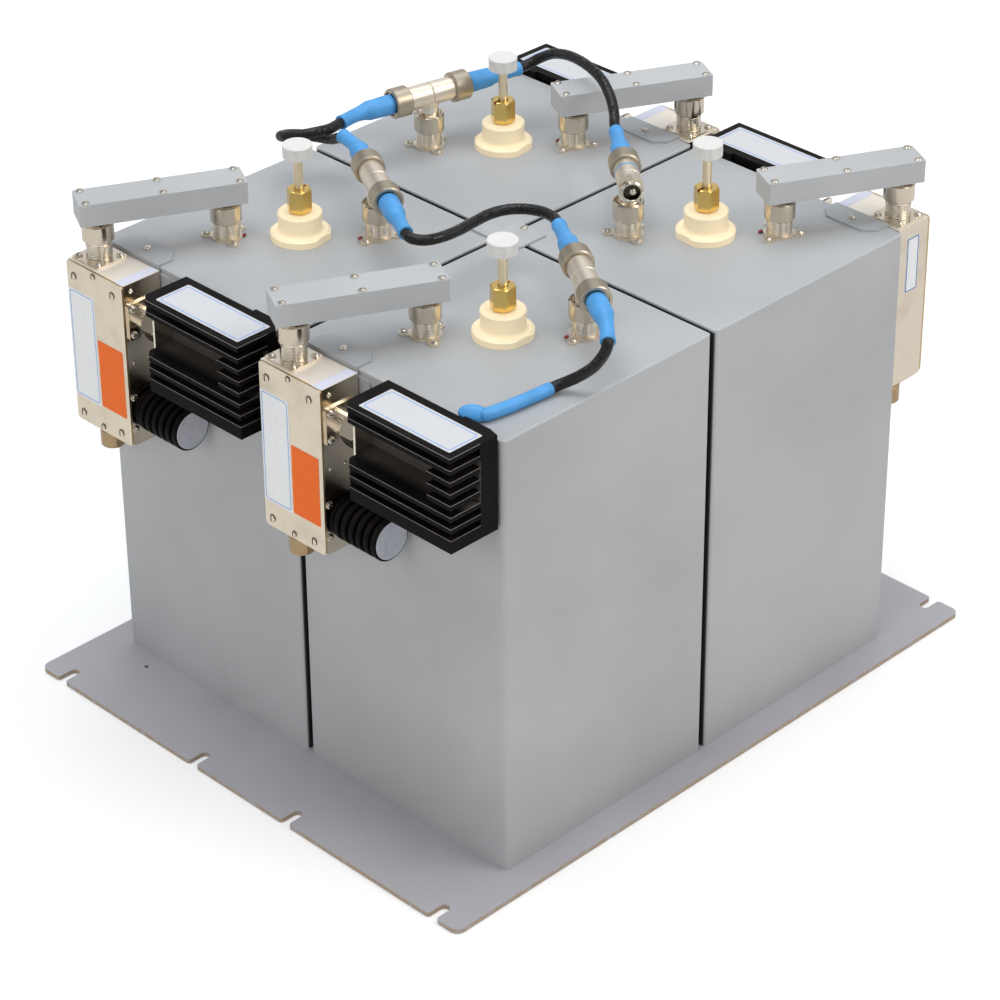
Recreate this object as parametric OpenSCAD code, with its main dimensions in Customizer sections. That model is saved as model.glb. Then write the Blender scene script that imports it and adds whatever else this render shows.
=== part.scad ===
// Transmitter combiner: four square cavity filters stand on a rack plate. Each is fed through its own
// isolator, and tees and short coaxial jumpers join their outputs into one line.
// Each channel is drawn once, about the axis of its cavity, with its isolator on the -X side.

/* [Base plate] */
// Width of the plate, across a 19 inch rack
plate_w = 482.6; // [470:0.1:520]
// Depth of the plate
plate_d = 399.4; // [380:0.1:460]
// Thickness of the plate
plate_t = 3.2; // [2:0.1:5]
// Distance of the pin hole from the plate's left edge
pin_hole_x = 48.8; // [40:0.1:60]
// Distance of the pin hole from the plate's rear edge
pin_hole_y = 51.2; // [40:0.1:60]
// Radius of the plate's corners
plate_r = 6; // [2:0.5:12]
// Width of a rack screw slot
slot_w = 6.8; // [5:0.1:8]
// Depth of a rack screw slot from the edge
slot_depth = 14; // [10:0.5:20]
// Distance of the inner slots from the middle
slot_near = 44.45; // [30:0.05:60]
// Distance of the outer slots from the middle
slot_far = 177.8; // [150:0.05:180]

/* [Cavity] */
// Side of a square cavity
cavity_w = 177.8; // [175:0.1:181]
// Gap between neighbouring cavities
cavity_gap = 3.6; // [2.6:0.1:6]
// Height of a cavity above the plate
cavity_h = 309; // [300:0.5:330]
// Wall of a cavity
cavity_wall = 3.2; // [2:0.1:4]
// Radius of the upright corners
cavity_r = 3; // [2:0.1:4]
// Radius of the edges round the lid
lid_edge_r = 1.2; // [0.6:0.1:1.8]

/* [Resonator] */
// Outer diameter of the resonator tube
resonator_d = 50.8; // [46:0.1:56]
// Wall of the resonator tube
resonator_wall = 1.6; // [1:0.1:2.2]
// Length of the resonator tube
resonator_l = 120; // [100:1:150]
// Diameter of the resonator's flange under the lid
resonator_flange_d = 66; // [60:1:70]
// Thickness of the resonator's flange
resonator_flange_t = 2; // [1.5:0.1:3]
// Number of contact fingers at the open end
finger_count = 12; // [8:1:16]
// Length of the contact fingers
finger_l = 22; // [15:1:30]
// Width of the slits between the fingers
finger_slit = 1.2; // [0.8:0.1:2]
// Running clearance of the plunger in the tube
plunger_clear = 0.4; // [0.3:0.05:1]
// Depth of a coupling loop below its jack's contact
loop_depth = 34; // [28:0.5:40]
// Reach of a coupling loop to the side
loop_reach = 22; // [16:0.5:26]
// Length of the plunger
plunger_l = 62; // [50:1:70]
// Wall of the plunger
plunger_wall = 1.5; // [1:0.1:2]
// Depth of the plunger's crown below the lid's underside
plunger_depth = 84; // [75:1:95]

/* [Tuning stack] */
// Diameter of the ivory flange on the lid
boss_flange_d = 38.4; // [35:0.1:42]
// Distance across the flange's flats
boss_flats = 36; // [34:0.1:37]
// Height of the flange
boss_flange_h = 5.4; // [4:0.1:7]
// Diameter of the boss
boss_d = 28.4; // [26:0.1:30]
// Height of the boss above the lid
boss_h = 18; // [15:0.1:20]
// Diameter of the boss's spigot through the lid
spigot_d = 22; // [20:0.1:24]
// Diameter of the tuning rod
rod_d = 6; // [5:0.1:7]
// Running clearance round the tuning rod
rod_clear = 0.35; // [0.3:0.05:0.6]
// Distance across the flats of the brass lock nut
nut_flats = 14.3; // [13:0.1:16]
// Height of the lock nut's hexagon
nut_h = 15; // [13:0.1:16]
// Diameter of the lock nut's neck
nut_neck_d = 12.2; // [11:0.1:13]
// Height of the lock nut's neck
nut_neck_h = 1; // [0.8:0.1:2]
// Depth of the lock nut's thread in the boss
nut_thread_l = 8; // [6:0.5:10]
// Diameter of the lock nut's thread
nut_thread_d = 10; // [9:0.1:11]
// Diameter of the knob
knob_d = 19.2; // [17:0.1:22]
// Height of the knob
knob_h = 8.8; // [7:0.1:11]
// Height of the knob's top above the lid
knob_top = 65; // [62:0.5:75]
// Number of flutes round the knob
knob_flutes = 8; // [6:1:10]
// Depth of a flute
flute_depth = 0.7; // [0.4:0.1:1.2]

/* [Connectors] */
// Diameter of a jack's threaded barrel
barrel_d = 15.8; // [15.4:0.05:16]
// Height of a jack's barrel above its flange's seat
barrel_l = 20.5; // [20:0.1:21]
// Bore of a jack
jack_bore = 8.6; // [8:0.1:9.2]
// Depth of a jack's bore
jack_bore_l = 9.5; // [8:0.1:11]
// Diameter of a jack's contact
contact_d = 3; // [2:0.1:4]
// Thickness of a jack's flange
flange_t = 1.6; // [1.2:0.1:2.4]
// Radius at which the three ears' screws stand
ear_pcd_r = 13.2; // [12.6:0.1:14]
// Radius of an ear
ear_r = 3.4; // [3:0.1:4]
// Side of a square flange
flange_w = 25.4; // [24.5:0.1:27]
// Spacing of a square flange's screws
flange_pitch = 18.26; // [17.5:0.01:19]
// Diameter of a coupling nut
coupling_d = 20.3; // [19.5:0.1:21.5]
// Length of a coupling nut
coupling_l = 12.4; // [11.5:0.1:13]
// Height of a coupling nut's edge above a jack's seat
coupling_rise = 12.2; // [11.8:0.1:12.6]
// Thickness of a coupling nut's lip
coupling_lip = 1.8; // [1.4:0.1:2]
// Depth of the recess behind a coupling nut's lip
coupling_recess = 1.4; // [1:0.1:1.6]
// Diameter of a plug's neck
neck_d = 13.2; // [12:0.1:14]
// Radial clearance between a nut and what it turns on
nut_clear = 0.15; // [0.1:0.05:0.3]
// Diameter of a flange screw's head
screw_d = 4.9; // [4:0.1:5.4]
// Height of a flange screw's head
screw_h = 1.7; // [1.2:0.1:2.2]

/* [Line bar] */
// Length of a line bar
bar_l = 107; // [105:0.5:115]
// Width of a line bar
bar_w = 23.3; // [22:0.1:26]
// Height of a line bar with its cover
bar_h = 15; // [13:0.5:18]
// Thickness of a line bar's cover
bar_cover_t = 1.6; // [1.2:0.1:2.2]
// Radius of a line bar's corners
bar_r = 1.5; // [1:0.1:4]
// Height of a line bar's underside above the lid
bar_rise = 27.3; // [27.1:0.1:30]

/* [Ports] */
// Distance of a cavity's input jack from its axis, along X
input_x = 33.3; // [32:0.1:36]
// Distance of a cavity's input jack from its axis, along Y
input_y = 32.6; // [31:0.1:36]
// Distance of a cavity's output jack from its axis, along X
output_x = 34.5; // [32:0.1:38]
// Distance of a cavity's output jack from its axis, along Y
output_y = 35; // [32:0.1:38]

/* [Isolator] */
// Height of an isolator
isolator_h = 115; // [110:0.5:125]
// Width of an isolator
isolator_w = 54; // [50:0.5:60]
// Depth of an isolator with its cover
isolator_depth = 31.5; // [28:0.5:36]
// Drop of the isolator's top below the lid
isolator_drop = 1.2; // [0.6:0.1:3]
// Distance of the isolator's near side from the cavity's axis
isolator_near = 30; // [26:0.5:34]
// Distance of the isolator's ports from its far side
port_inset = 14; // [13.5:0.1:18]
// Thickness of the isolator's cover
isolator_cover_t = 1.6; // [1.2:0.1:2.4]
// Thickness of the sheet bracket
bracket_t = 1.5; // [1:0.1:2]
// Distance from the isolator's near side to the middle of the bracket's tab
tab_offset = 24; // [20:0.5:30]
// Length of the bracket's tab on the lid
tab_l = 17; // [14:0.5:22]
// Width of the bracket's tab
tab_w = 44; // [38:0.5:50]
// Length of the bracket's flange down the wall
bracket_drop = 95; // [60:1:105]

/* [Heat sink load] */
// Distance from a heat sink's far end to the next isolator
sink_clear = 11.1; // [8:0.1:14]
// Height of a heat sink
sink_h = 63.7; // [60:0.1:70]
// Depth of a heat sink with its fins
sink_depth = 37.5; // [33:0.1:42]
// Thickness of a heat sink's base
sink_base = 13.5; // [11:0.1:16]
// Thickness of a fin
fin_t = 3.2; // [2:0.1:3.6]
// Distance from one fin to the next
fin_pitch = 7.85; // [7.6:0.05:8.4]
// Height of a heat sink's top above the lid
sink_rise = 4.8; // [2:0.1:10]
// Length of the fins left whole beyond the pocket in the middle fins
pocket_end = 19.5; // [14:0.5:26]
// Length of the foot at a heat sink's far end, which stands on the cavity's wall
sink_foot_l = 28; // [20:0.5:36]
// Distance from the isolator to the heat sink
sink_gap = 26.3; // [25.4:0.1:30]
// Height of the heat sink's connector below the lid
sink_port_drop = 27.6; // [25:0.1:31]

/* [Small load] */
// Diameter of the small load's rings
ring_d = 28; // [25:0.5:32]
// Number of rings
ring_count = 6; // [5:1:7]
// Distance from one ring to the next
ring_pitch = 6.45; // [5.5:0.05:7]
// Width of a ring
ring_t = 4.2; // [3:0.1:4.8]
// Diameter of the core between the rings
core_d = 22; // [18:0.5:24]
// Spacing of the small load's screws
ring_screw_pitch = 23; // [22.5:0.1:25]
// Height of the small load's axis below the lid
ring_drop = 93.2; // [88:0.1:96]

/* [Tees] */
// Height of a tee's run above the lid
run_rise = 38; // [37:0.1:42]
// Diameter of a tee's run
run_d = 15.5; // [14:0.1:16]
// Distance from a tee's axis to the nuts on its run
run_reach = 16.8; // [16:0.1:22]
// Diameter of a tee's leg
leg_d = 12.4; // [11:0.1:13]
// Direction of the front tee's run
tee_front_turn = 57; // [54:0.5:60]
// Direction of the left tee's run
tee_left_turn = 61; // [58:0.5:64]
// Direction of the back tee's run
tee_back_turn = -12; // [-15:0.5:-9]
// Direction of the elbow's cable arm
elbow_turn = 50; // [47:0.5:53]

/* [Boots] */
// Diameter of a boot over its plug
boot_d = 13.5; // [12.5:0.1:14.5]
// Length of a boot over its plug
boot_l = 19.4; // [16:0.1:23]
// Length of a boot's taper
taper_l = 6; // [4:0.5:8]
// Diameter of a boot's sleeve on the cable
sleeve_d = 9.2; // [9:0.1:10]
// Length of a boot's sleeve
sleeve_l = 18; // [14:0.5:22]
// Diameter of a cable
cable_d = 7; // [6:0.1:7.2]

/* [Hidden] */
CHANNELS = ["front", "right", "back", "left"];
PER_CHANNEL = [
    "cavity", "resonator", "tuning_boss", "lock_nut", "tuning_rod", "tuning_knob",
    "isolator", "line_bar", "heat_sink_load", "small_load"
];
SHARED = [
    "base_plate", "tie_plate", "line_bar_covers", "isolator_covers", "isolator_brackets",
    "cavity_jacks", "coupling_loops", "isolator_ports", "transmitter_ports",
    "coupling_nuts", "plug_bodies", "tee_connectors", "elbow_connector", "cable_boots", "lead_end",
    "jumper_front_left", "jumper_left_back", "jumper_back_right", "output_lead",
    "screws"
];
$fn = 48;

// Small overlap that lets one cut run clear of the face it starts from
EPS = 0.01;
// Clearance between faces that meet on parts that turn or slide
SEAT_GAP = 0.1;

// Levels above the plate's underside
lid_z = plate_t + cavity_h;
lid_under_z = lid_z - cavity_wall;
bar_z = lid_z + bar_rise;
run_z = lid_z + run_rise;
isolator_top_z = lid_z - isolator_drop;
isolator_z = isolator_top_z - isolator_h;

// Channels: place of each cavity's axis and its turn
channel_pitch = (cavity_w + cavity_gap) / 2;
sink_l = 2 * channel_pitch - isolator_w - sink_gap - sink_clear;
CHANNEL_SIGN = [[-1, -1], [1, -1], [1, 1], [-1, 1]];
CHANNEL_TURN = [0, 180, 180, 0];

// Places in a channel's own frame
wall_x = -cavity_w / 2;
case_x = wall_x - bracket_t;
cover_x = case_x - isolator_depth + isolator_cover_t;
front_x = case_x - isolator_depth;
tab_mid = isolator_near + tab_offset;
port_x = case_x - isolator_depth / 2;
port_y = isolator_near + isolator_w - port_inset;
input_xy = [-input_x, input_y];
output_xy = [output_x, -output_y];
port_xy = [port_x, port_y];
line_angle = atan2(input_xy[1] - port_xy[1], input_xy[0] - port_xy[0]);
line_pitch = norm(input_xy - port_xy);
line_mid = (input_xy + port_xy) / 2;
bar_cover_z = bar_z + bar_h - bar_cover_t;
BOSS_TURN = [-92, -5, 97, -80];
INPUT_EARS = [128, 8, -112];
OUTPUT_EARS = [-50, -170, 70];

// Jack and plug
coupling_bore = barrel_d + 2 * nut_clear;
shoulder_z = coupling_rise + coupling_l - coupling_recess - coupling_lip;
shank_d = 12.4;
shank_l = cavity_wall + 4;
contact_l = 3;
plug_top = coupling_rise + coupling_l - coupling_recess;
chamfer = 0.8;

// Arms: each cable plug is [channel index, direction, yaw of its sleeve, droop of its sleeve]
ARMS = [
    [0, tee_front_turn, 0, 0],
    [0, tee_front_turn + 180, -10, 12],
    [3, tee_left_turn, 16, 0],
    [3, tee_left_turn + 180, 0, 0],
    [2, tee_back_turn, 0, 0],
    [2, tee_back_turn + 180, 18, 0],
    [1, elbow_turn, 0, 0]
];
TEES = [[0, tee_front_turn], [3, tee_left_turn], [2, tee_back_turn]];
boot_start = run_reach + coupling_l - coupling_recess + 0.4;
ferrule_d = boot_d - 2.4;
ferrule_l = boot_l - 4;
boot_bore = cable_d + 1;
sleeve_bore_l = 13;

// Routes of the cables' middle lines
FRONT_LEFT = [
    [-88, -1.7, 350.2], [-91, -7.2, 350.2], [-92.6, -14, 349.8], [-87, -20.6, 349],
    [-76, -23.4, 348.2], [-62, -23.5, 347.5], [-46, -21.6, 347], [-33, -21.4, 347.2], [-22.5, -25.4, 347.8],
    [-14.8, -33.6, 348.5], [-11.2, -44, 349.3], [-12, -54.5, 350], [-15, -62.3, 350.2], [-18.4, -67.5, 350.2],
    [-21.4, -72.1, 350.2]
];
LEFT_BACK = [
    [-8, 135.6, 350.2], [-14.2, 134.9, 350.2], [-25.5, 132.6, 350.8], [-36.5, 134, 351.6], [-45.5, 140.6, 350.2],
    [-49.5, 150, 347.4], [-46.5, 157.2, 344.4], [-38, 159.8, 341.6], [-29.4, 156, 339.8], [-24.4, 147, 339.4],
    [-22.6, 136, 341], [-23.6, 126.5, 345.6], [-26.4, 119.8, 349.8], [-28, 113, 350.2]
];
BACK_RIGHT = [
    [119, 112.4, 350.2], [126, 110.8, 350.2], [133.5, 109.6, 351.4], [140, 104.5, 355.5],
    [141.4, 93, 361.8], [138.4, 75, 366.8], [133.4, 55, 368.4], [127.4, 36.6, 366.8], [120.6, 22, 361.6],
    [113.6, 11.6, 355.6], [107.4, 5.2, 351.6], [102, -1.1, 350.2], [97, -7, 350.2]
];
OUTPUT_LEAD = [
    [-91.8, -177.7, 348], [-97.3, -183.5, 346.5], [-100.8, -184, 340.4], [-104.8, -179.4, 331.4],
    [-109.3, -171.6, 323.5], [-114.8, -164.8, 318.6], [-122, -161.2, 316.4], [-136, -159.8, 316.2],
    [-151, -158.4, 316.2], [-166, -156, 316.2]
];
lead_end_d = 8;
lead_end_l = 20;
lead_end_turn = 122;

// Common shapes

module rounded_rect(size, r) {
    square([size[0] - 2 * r, size[1]], center = true);
    square([size[0], size[1] - 2 * r], center = true);
    for (x = [-1, 1], y = [-1, 1])
        translate([x * (size[0] / 2 - r), y * (size[1] / 2 - r)])
            circle(r);
}

module plate(size, t, r) {
    linear_extrude(t)
        rounded_rect(size, r);
}

module tube(d, bore, l) {
    difference() {
        cylinder(d = d, h = l);
        translate([0, 0, -EPS])
            cylinder(d = bore, h = l + 2 * EPS);
    }
}

// A round piece with both ends chamfered
module turned(d, l, c) {
    rotate_extrude()
        polygon([[0, 0], [d / 2 - c, 0], [d / 2, c], [d / 2, l - c], [d / 2 - c, l], [0, l]]);
}

module pan_screw(d, h) {
    slot_t = d * 0.16;
    difference() {
        rotate_extrude()
            polygon([[0, 0], [d / 2, 0], [d / 2, h * 0.45], [d * 0.36, h * 0.88], [d * 0.2, h], [0, h]]);
        translate([-d / 2, -slot_t / 2, h * 0.5])
            cube([d, slot_t, h]);
    }
}

module at_channel(i) {
    translate([CHANNEL_SIGN[i][0] * channel_pitch, CHANNEL_SIGN[i][1] * channel_pitch, 0])
        rotate([0, 0, CHANNEL_TURN[i]])
            children();
}

module each_channel() {
    for (i = [0:3])
        at_channel(i)
            children();
}

module square_screws(pitch) {
    for (x = [-1, 1], y = [-1, 1])
        translate([x * pitch / 2, y * pitch / 2, 0])
            children();
}

// Puts children on the isolator's near side, pointing along -Y
module on_near_side(z) {
    translate([port_x, isolator_near, z])
        rotate([90, 0, 0])
            children();
}

// Puts children on an arm of a channel's tee or elbow, pointing outwards along +Z
module on_arm(arm, from = 0) {
    sign = CHANNEL_SIGN[arm[0]];
    turned_by = CHANNEL_TURN[arm[0]] == 0 ? 1 : -1;
    x = sign[0] * channel_pitch + turned_by * output_xy[0];
    y = sign[1] * channel_pitch + turned_by * output_xy[1];
    translate([x, y, run_z])
        rotate([0, 0, arm[1]])
            rotate([0, 90, 0])
                translate([0, 0, from])
                    children();
}

// Connector parts, each standing on its seat with its axis along +Z

module jack_barrel() {
    difference() {
        union() {
            cylinder(d = barrel_d + 0.4, h = coupling_rise - 4);
            translate([0, 0, coupling_rise - 4 - EPS])
                turned(barrel_d, barrel_l - coupling_rise + 4 + EPS, 0.6);
        }
        translate([0, 0, barrel_l - jack_bore_l])
            cylinder(d = jack_bore, h = jack_bore_l + EPS);
    }
    translate([0, 0, barrel_l - jack_bore_l - EPS])
        cylinder(d = contact_d, h = jack_bore_l - 2);
}

module eared_jack(angles) {
    cylinder(d = barrel_d + 4.4, h = flange_t);
    for (a = angles)
        rotate([0, 0, a]) {
            translate([ear_pcd_r, 0, 0])
                cylinder(r = ear_r, h = flange_t);
            translate([0, -ear_r, 0])
                cube([ear_pcd_r, 2 * ear_r, flange_t]);
        }
    jack_barrel();
    translate([0, 0, -shank_l])
        cylinder(d = shank_d, h = shank_l + EPS);
    translate([0, 0, -shank_l - contact_l])
        cylinder(d = contact_d, h = contact_l + EPS);
}

module square_jack() {
    plate([flange_w, flange_w], flange_t, 2);
    jack_barrel();
}

module coupling_nut() {
    lip_z = coupling_l - coupling_recess - coupling_lip;
    recess_r = coupling_d / 2 - 2;
    rotate_extrude()
        polygon([
            [coupling_bore / 2, 0],
            [coupling_d / 2 - chamfer, 0],
            [coupling_d / 2, chamfer],
            [coupling_d / 2, coupling_l - chamfer],
            [coupling_d / 2 - chamfer, coupling_l],
            [recess_r, coupling_l],
            [recess_r, lip_z + coupling_lip],
            [neck_d / 2 + nut_clear, lip_z + coupling_lip],
            [neck_d / 2 + nut_clear, lip_z],
            [coupling_bore / 2, lip_z]
        ]);
}

// Body of a plug: a shoulder that the nut draws down, and a neck through the nut's lip
module plug_body(neck_l) {
    shoulder_l = shoulder_z - barrel_l - SEAT_GAP;
    translate([0, 0, barrel_l])
        cylinder(d = barrel_d - 0.4, h = shoulder_l);
    translate([0, 0, barrel_l + shoulder_l - EPS])
        cylinder(d = neck_d, h = neck_l + EPS);
}

// Base plate and the sheet that ties the lids

module rack_slot(side, y) {
    mouth_r = 2.4;
    arc_r = mouth_r + 0.05;
    translate([side * plate_w / 2, y])
        rotate([0, 0, side > 0 ? 180 : 0]) {
            translate([-1, -slot_w / 2])
                square([slot_depth + 1 - slot_w / 2, slot_w]);
            translate([slot_depth - slot_w / 2, 0])
                circle(slot_w / 2);
            for (s = [-1, 1])
                difference() {
                    translate([-1, s > 0 ? slot_w / 2 - 1 : -slot_w / 2 - mouth_r])
                        square([mouth_r + 1, mouth_r + 1]);
                    translate([mouth_r, s * (slot_w / 2 + mouth_r)])
                        circle(arc_r);
                }
        }
}

module base_plate() {
    pin_hole_d = 3;
    pin_xy = [pin_hole_x - plate_w / 2, plate_d / 2 - pin_hole_y];
    color("slategray")
        linear_extrude(plate_t)
            difference() {
                rounded_rect([plate_w, plate_d], plate_r);
                for (side = [-1, 1], y = [-slot_far, -slot_near, slot_near, slot_far])
                    rack_slot(side, y);
                translate(pin_xy)
                    circle(d = pin_hole_d);
            }
}

TIE_MID = [4, 4.5];
TIE_SIZE = [28, 51];
TIE_SCREWS = [[14, -4.5], [-5.5, -4.5], [14, 22], [-5.5, 22]];
tie_t = 1.5;

module tie_plate() {
    color("silver")
        translate([TIE_MID[0], TIE_MID[1], lid_z])
            plate(TIE_SIZE, tie_t, 1.5);
}

// Cavity shell, open towards the plate

module cavity_block(w, h, r, edge_r) {
    intersection() {
        linear_extrude(h)
            rounded_rect([w, w], r);
        block_profile(w, h, edge_r);
        rotate([0, 0, 90])
            block_profile(w, h, edge_r);
    }
}

// A bar of the block's height whose two long top edges are rounded
module block_profile(w, h, edge_r) {
    translate([0, w / 2 + 1, 0])
        rotate([90, 0, 0])
            linear_extrude(w + 2)
                union() {
                    translate([-w / 2, 0])
                        square([w, h - edge_r]);
                    translate([-w / 2 + edge_r, h - edge_r - EPS])
                        square([w - 2 * edge_r, edge_r + EPS]);
                    for (s = [-1, 1])
                        translate([s * (w / 2 - edge_r), h - edge_r])
                            circle(edge_r);
                }
}

module cavity() {
    inner_w = cavity_w - 2 * cavity_wall;
    color("lightslategray")
        translate([0, 0, plate_t])
            difference() {
                cavity_block(cavity_w, cavity_h, cavity_r, lid_edge_r);
                translate([0, 0, -EPS])
                    linear_extrude(cavity_h - cavity_wall + EPS)
                        square(inner_w, center = true);
                translate([0, 0, cavity_h - 2 * cavity_wall])
                    cylinder(d = spigot_d + SEAT_GAP, h = 3 * cavity_wall);
                for (xy = [input_xy, output_xy])
                    translate([xy[0], xy[1], cavity_h - 2 * cavity_wall])
                        cylinder(d = shank_d + SEAT_GAP, h = 3 * cavity_wall);
            }
}

// Resonator inside the cavity: a flanged tube with contact fingers

module resonator() {
    bore = resonator_d - 2 * resonator_wall;
    color("peru")
        difference() {
            union() {
                translate([0, 0, lid_under_z - resonator_flange_t])
                    tube(resonator_flange_d, bore, resonator_flange_t);
                translate([0, 0, lid_under_z - resonator_l])
                    tube(resonator_d, bore, resonator_l - resonator_flange_t + EPS);
            }
            for (a = [0:360 / finger_count:359])
                rotate([0, 0, a])
                    translate([bore / 2 - 1, -finger_slit / 2, lid_under_z - resonator_l - 1])
                        cube([resonator_wall + 2, finger_slit, finger_l + 1]);
            for (xy = [input_xy, output_xy])
                translate([xy[0], xy[1], lid_under_z - 2 * resonator_flange_t])
                    cylinder(d = shank_d + 8, h = 3 * resonator_flange_t);
        }
}

// Coupling loops: a bent strip from each jack's contact to the lid

module coupling_loop() {
    strip_w = 6;
    strip_t = 1.2;
    top = lid_under_z;
    contact_z = lid_z - shank_l - contact_l;
    bottom = contact_z - loop_depth;
    translate([-strip_t / 2, -strip_w / 2, bottom])
        cube([strip_t, strip_w, contact_z - bottom]);
    translate([-strip_t / 2, -strip_w / 2, bottom])
        cube([loop_reach + strip_t, strip_w, strip_t]);
    translate([loop_reach - strip_t / 2, -strip_w / 2, bottom])
        cube([strip_t, strip_w, top - bottom]);
}

module coupling_loops() {
    color("peru")
        each_channel() {
            translate([input_xy[0], input_xy[1], 0])
                rotate([0, 0, 180])
                    coupling_loop();
            translate([output_xy[0], output_xy[1], 0])
                coupling_loop();
        }
}

// Tuning stack

module tuning_boss() {
    fillet_r = 1.6;
    rim = 0.7;
    bore = nut_thread_d + SEAT_GAP;
    color("antiquewhite")
        translate([0, 0, lid_z])
            difference() {
                union() {
                    rotate_extrude($fn = 96)
                        polygon([
                            [0, 0],
                            [boss_flange_d / 2, 0],
                            [boss_flange_d / 2, boss_flange_h - 1.2],
                            [boss_flange_d / 2 - 1.8, boss_flange_h],
                            [boss_d / 2 + fillet_r, boss_flange_h],
                            [boss_d / 2 + 0.3 * fillet_r, boss_flange_h + 0.3 * fillet_r],
                            [boss_d / 2 - 0.2, boss_flange_h + fillet_r],
                            [boss_d / 2 - 0.2, boss_h - 3],
                            [boss_d / 2, boss_h - 2.2],
                            [boss_d / 2, boss_h - rim],
                            [boss_d / 2 - rim, boss_h],
                            [0, boss_h]
                        ]);
                    translate([0, 0, -cavity_wall])
                        cylinder(d = spigot_d, h = cavity_wall + EPS);
                }
                for (a = [0, 180])
                    rotate([0, 0, a])
                        translate([boss_flats / 2, -boss_d, -1])
                            cube([boss_flange_d, 2 * boss_d, boss_flange_h + 2]);
                translate([0, 0, boss_h - nut_thread_l - 1])
                    cylinder(d = bore, h = nut_thread_l + 2);
                translate([0, 0, -cavity_wall - 1])
                    cylinder(d = rod_d + 2 * rod_clear, h = boss_h + cavity_wall + 2);
            }
}

module lock_nut() {
    base_z = lid_z + boss_h + SEAT_GAP;
    corner_d = nut_flats / cos(30);
    color("goldenrod")
        difference() {
            union() {
                translate([0, 0, base_z - nut_thread_l])
                    cylinder(d = nut_thread_d, h = nut_thread_l + EPS);
                translate([0, 0, base_z])
                    cylinder(d = nut_neck_d, h = nut_neck_h + EPS);
                intersection() {
                    translate([0, 0, base_z + nut_neck_h])
                        cylinder(d = corner_d, h = nut_h, $fn = 6);
                    translate([0, 0, base_z + nut_neck_h])
                        rotate_extrude($fn = 64)
                            polygon([
                                [0, 0], [nut_flats / 2 - 0.3, 0], [corner_d / 2 + 0.1, 0.9],
                                [corner_d / 2 + 0.1, nut_h - 0.9], [nut_flats / 2 - 0.3, nut_h], [0, nut_h]
                            ]);
                }
            }
            translate([0, 0, base_z - nut_thread_l - 1])
                cylinder(d = rod_d + 2 * rod_clear, h = nut_h + nut_thread_l + nut_neck_h + 2);
            translate([0, -1, base_z + nut_neck_h + nut_h - 1.4])
                cube([corner_d, 2, 2]);
        }
}

knob_z = lid_z + knob_top - knob_h;
rod_in_knob = 5;

module tuning_rod() {
    plunger_d = resonator_d - 2 * resonator_wall - 2 * plunger_clear;
    crown_z = lid_under_z - plunger_depth;
    crown_t = 4;
    color("burlywood") {
        translate([0, 0, crown_z - EPS])
            cylinder(d = rod_d, h = knob_z + rod_in_knob - crown_z + EPS);
        translate([0, 0, crown_z - plunger_l])
            difference() {
                turned(plunger_d, plunger_l, 1);
                translate([0, 0, -EPS])
                    cylinder(d = plunger_d - 2 * plunger_wall, h = plunger_l - crown_t);
            }
    }
}

module tuning_knob() {
    flute_r = 4;
    color("whitesmoke")
        translate([0, 0, knob_z])
            difference() {
                turned(knob_d, knob_h, 0.5);
                translate([0, 0, -EPS])
                    cylinder(d = rod_d + SEAT_GAP, h = rod_in_knob + SEAT_GAP + EPS);
                for (a = [0:360 / knob_flutes:359])
                    rotate([0, 0, a])
                        translate([knob_d / 2 - flute_depth + flute_r, 0, -1])
                            cylinder(r = flute_r, h = knob_h - 0.2);
            }
}

// Jacks on the lids and on the isolators

module cavity_jacks() {
    color("wheat")
        each_channel() {
            translate([input_xy[0], input_xy[1], lid_z])
                eared_jack(INPUT_EARS);
            translate([output_xy[0], output_xy[1], lid_z])
                eared_jack(OUTPUT_EARS);
        }
}

module isolator_ports() {
    color("wheat")
        each_channel() {
            translate([port_x, port_y, isolator_top_z])
                square_jack();
            on_near_side(lid_z - sink_port_drop) {
                plate([flange_w, flange_w], flange_t, 2);
                cylinder(d = barrel_d, h = sink_gap / 2);
            }
        }
}

module transmitter_ports() {
    color("wheat")
        each_channel()
            translate([port_x, port_y, isolator_z])
                mirror([0, 0, 1])
                    square_jack();
}

// Isolator

module isolator() {
    body_w = isolator_depth - isolator_cover_t;
    edge = 1;
    color("tan")
        translate([cover_x, isolator_near, isolator_z])
            difference() {
                cube([body_w, isolator_w, isolator_h]);
                for (z = [0, isolator_h])
                    translate([body_w, -1, z])
                        rotate([-90, 0, 0])
                            cylinder(r = edge, h = isolator_w + 2, $fn = 4);
                for (y = [0, isolator_w])
                    translate([body_w, y, -1])
                        cylinder(r = edge, h = isolator_h + 2, $fn = 4);
            }
}

module isolator_covers() {
    cover_r = 2.5;
    color("tan")
        each_channel()
            translate([cover_x, isolator_near + isolator_w / 2, isolator_z + isolator_h / 2])
                rotate([0, -90, 0])
                    plate([isolator_h, isolator_w], isolator_cover_t, cover_r);
}

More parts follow.
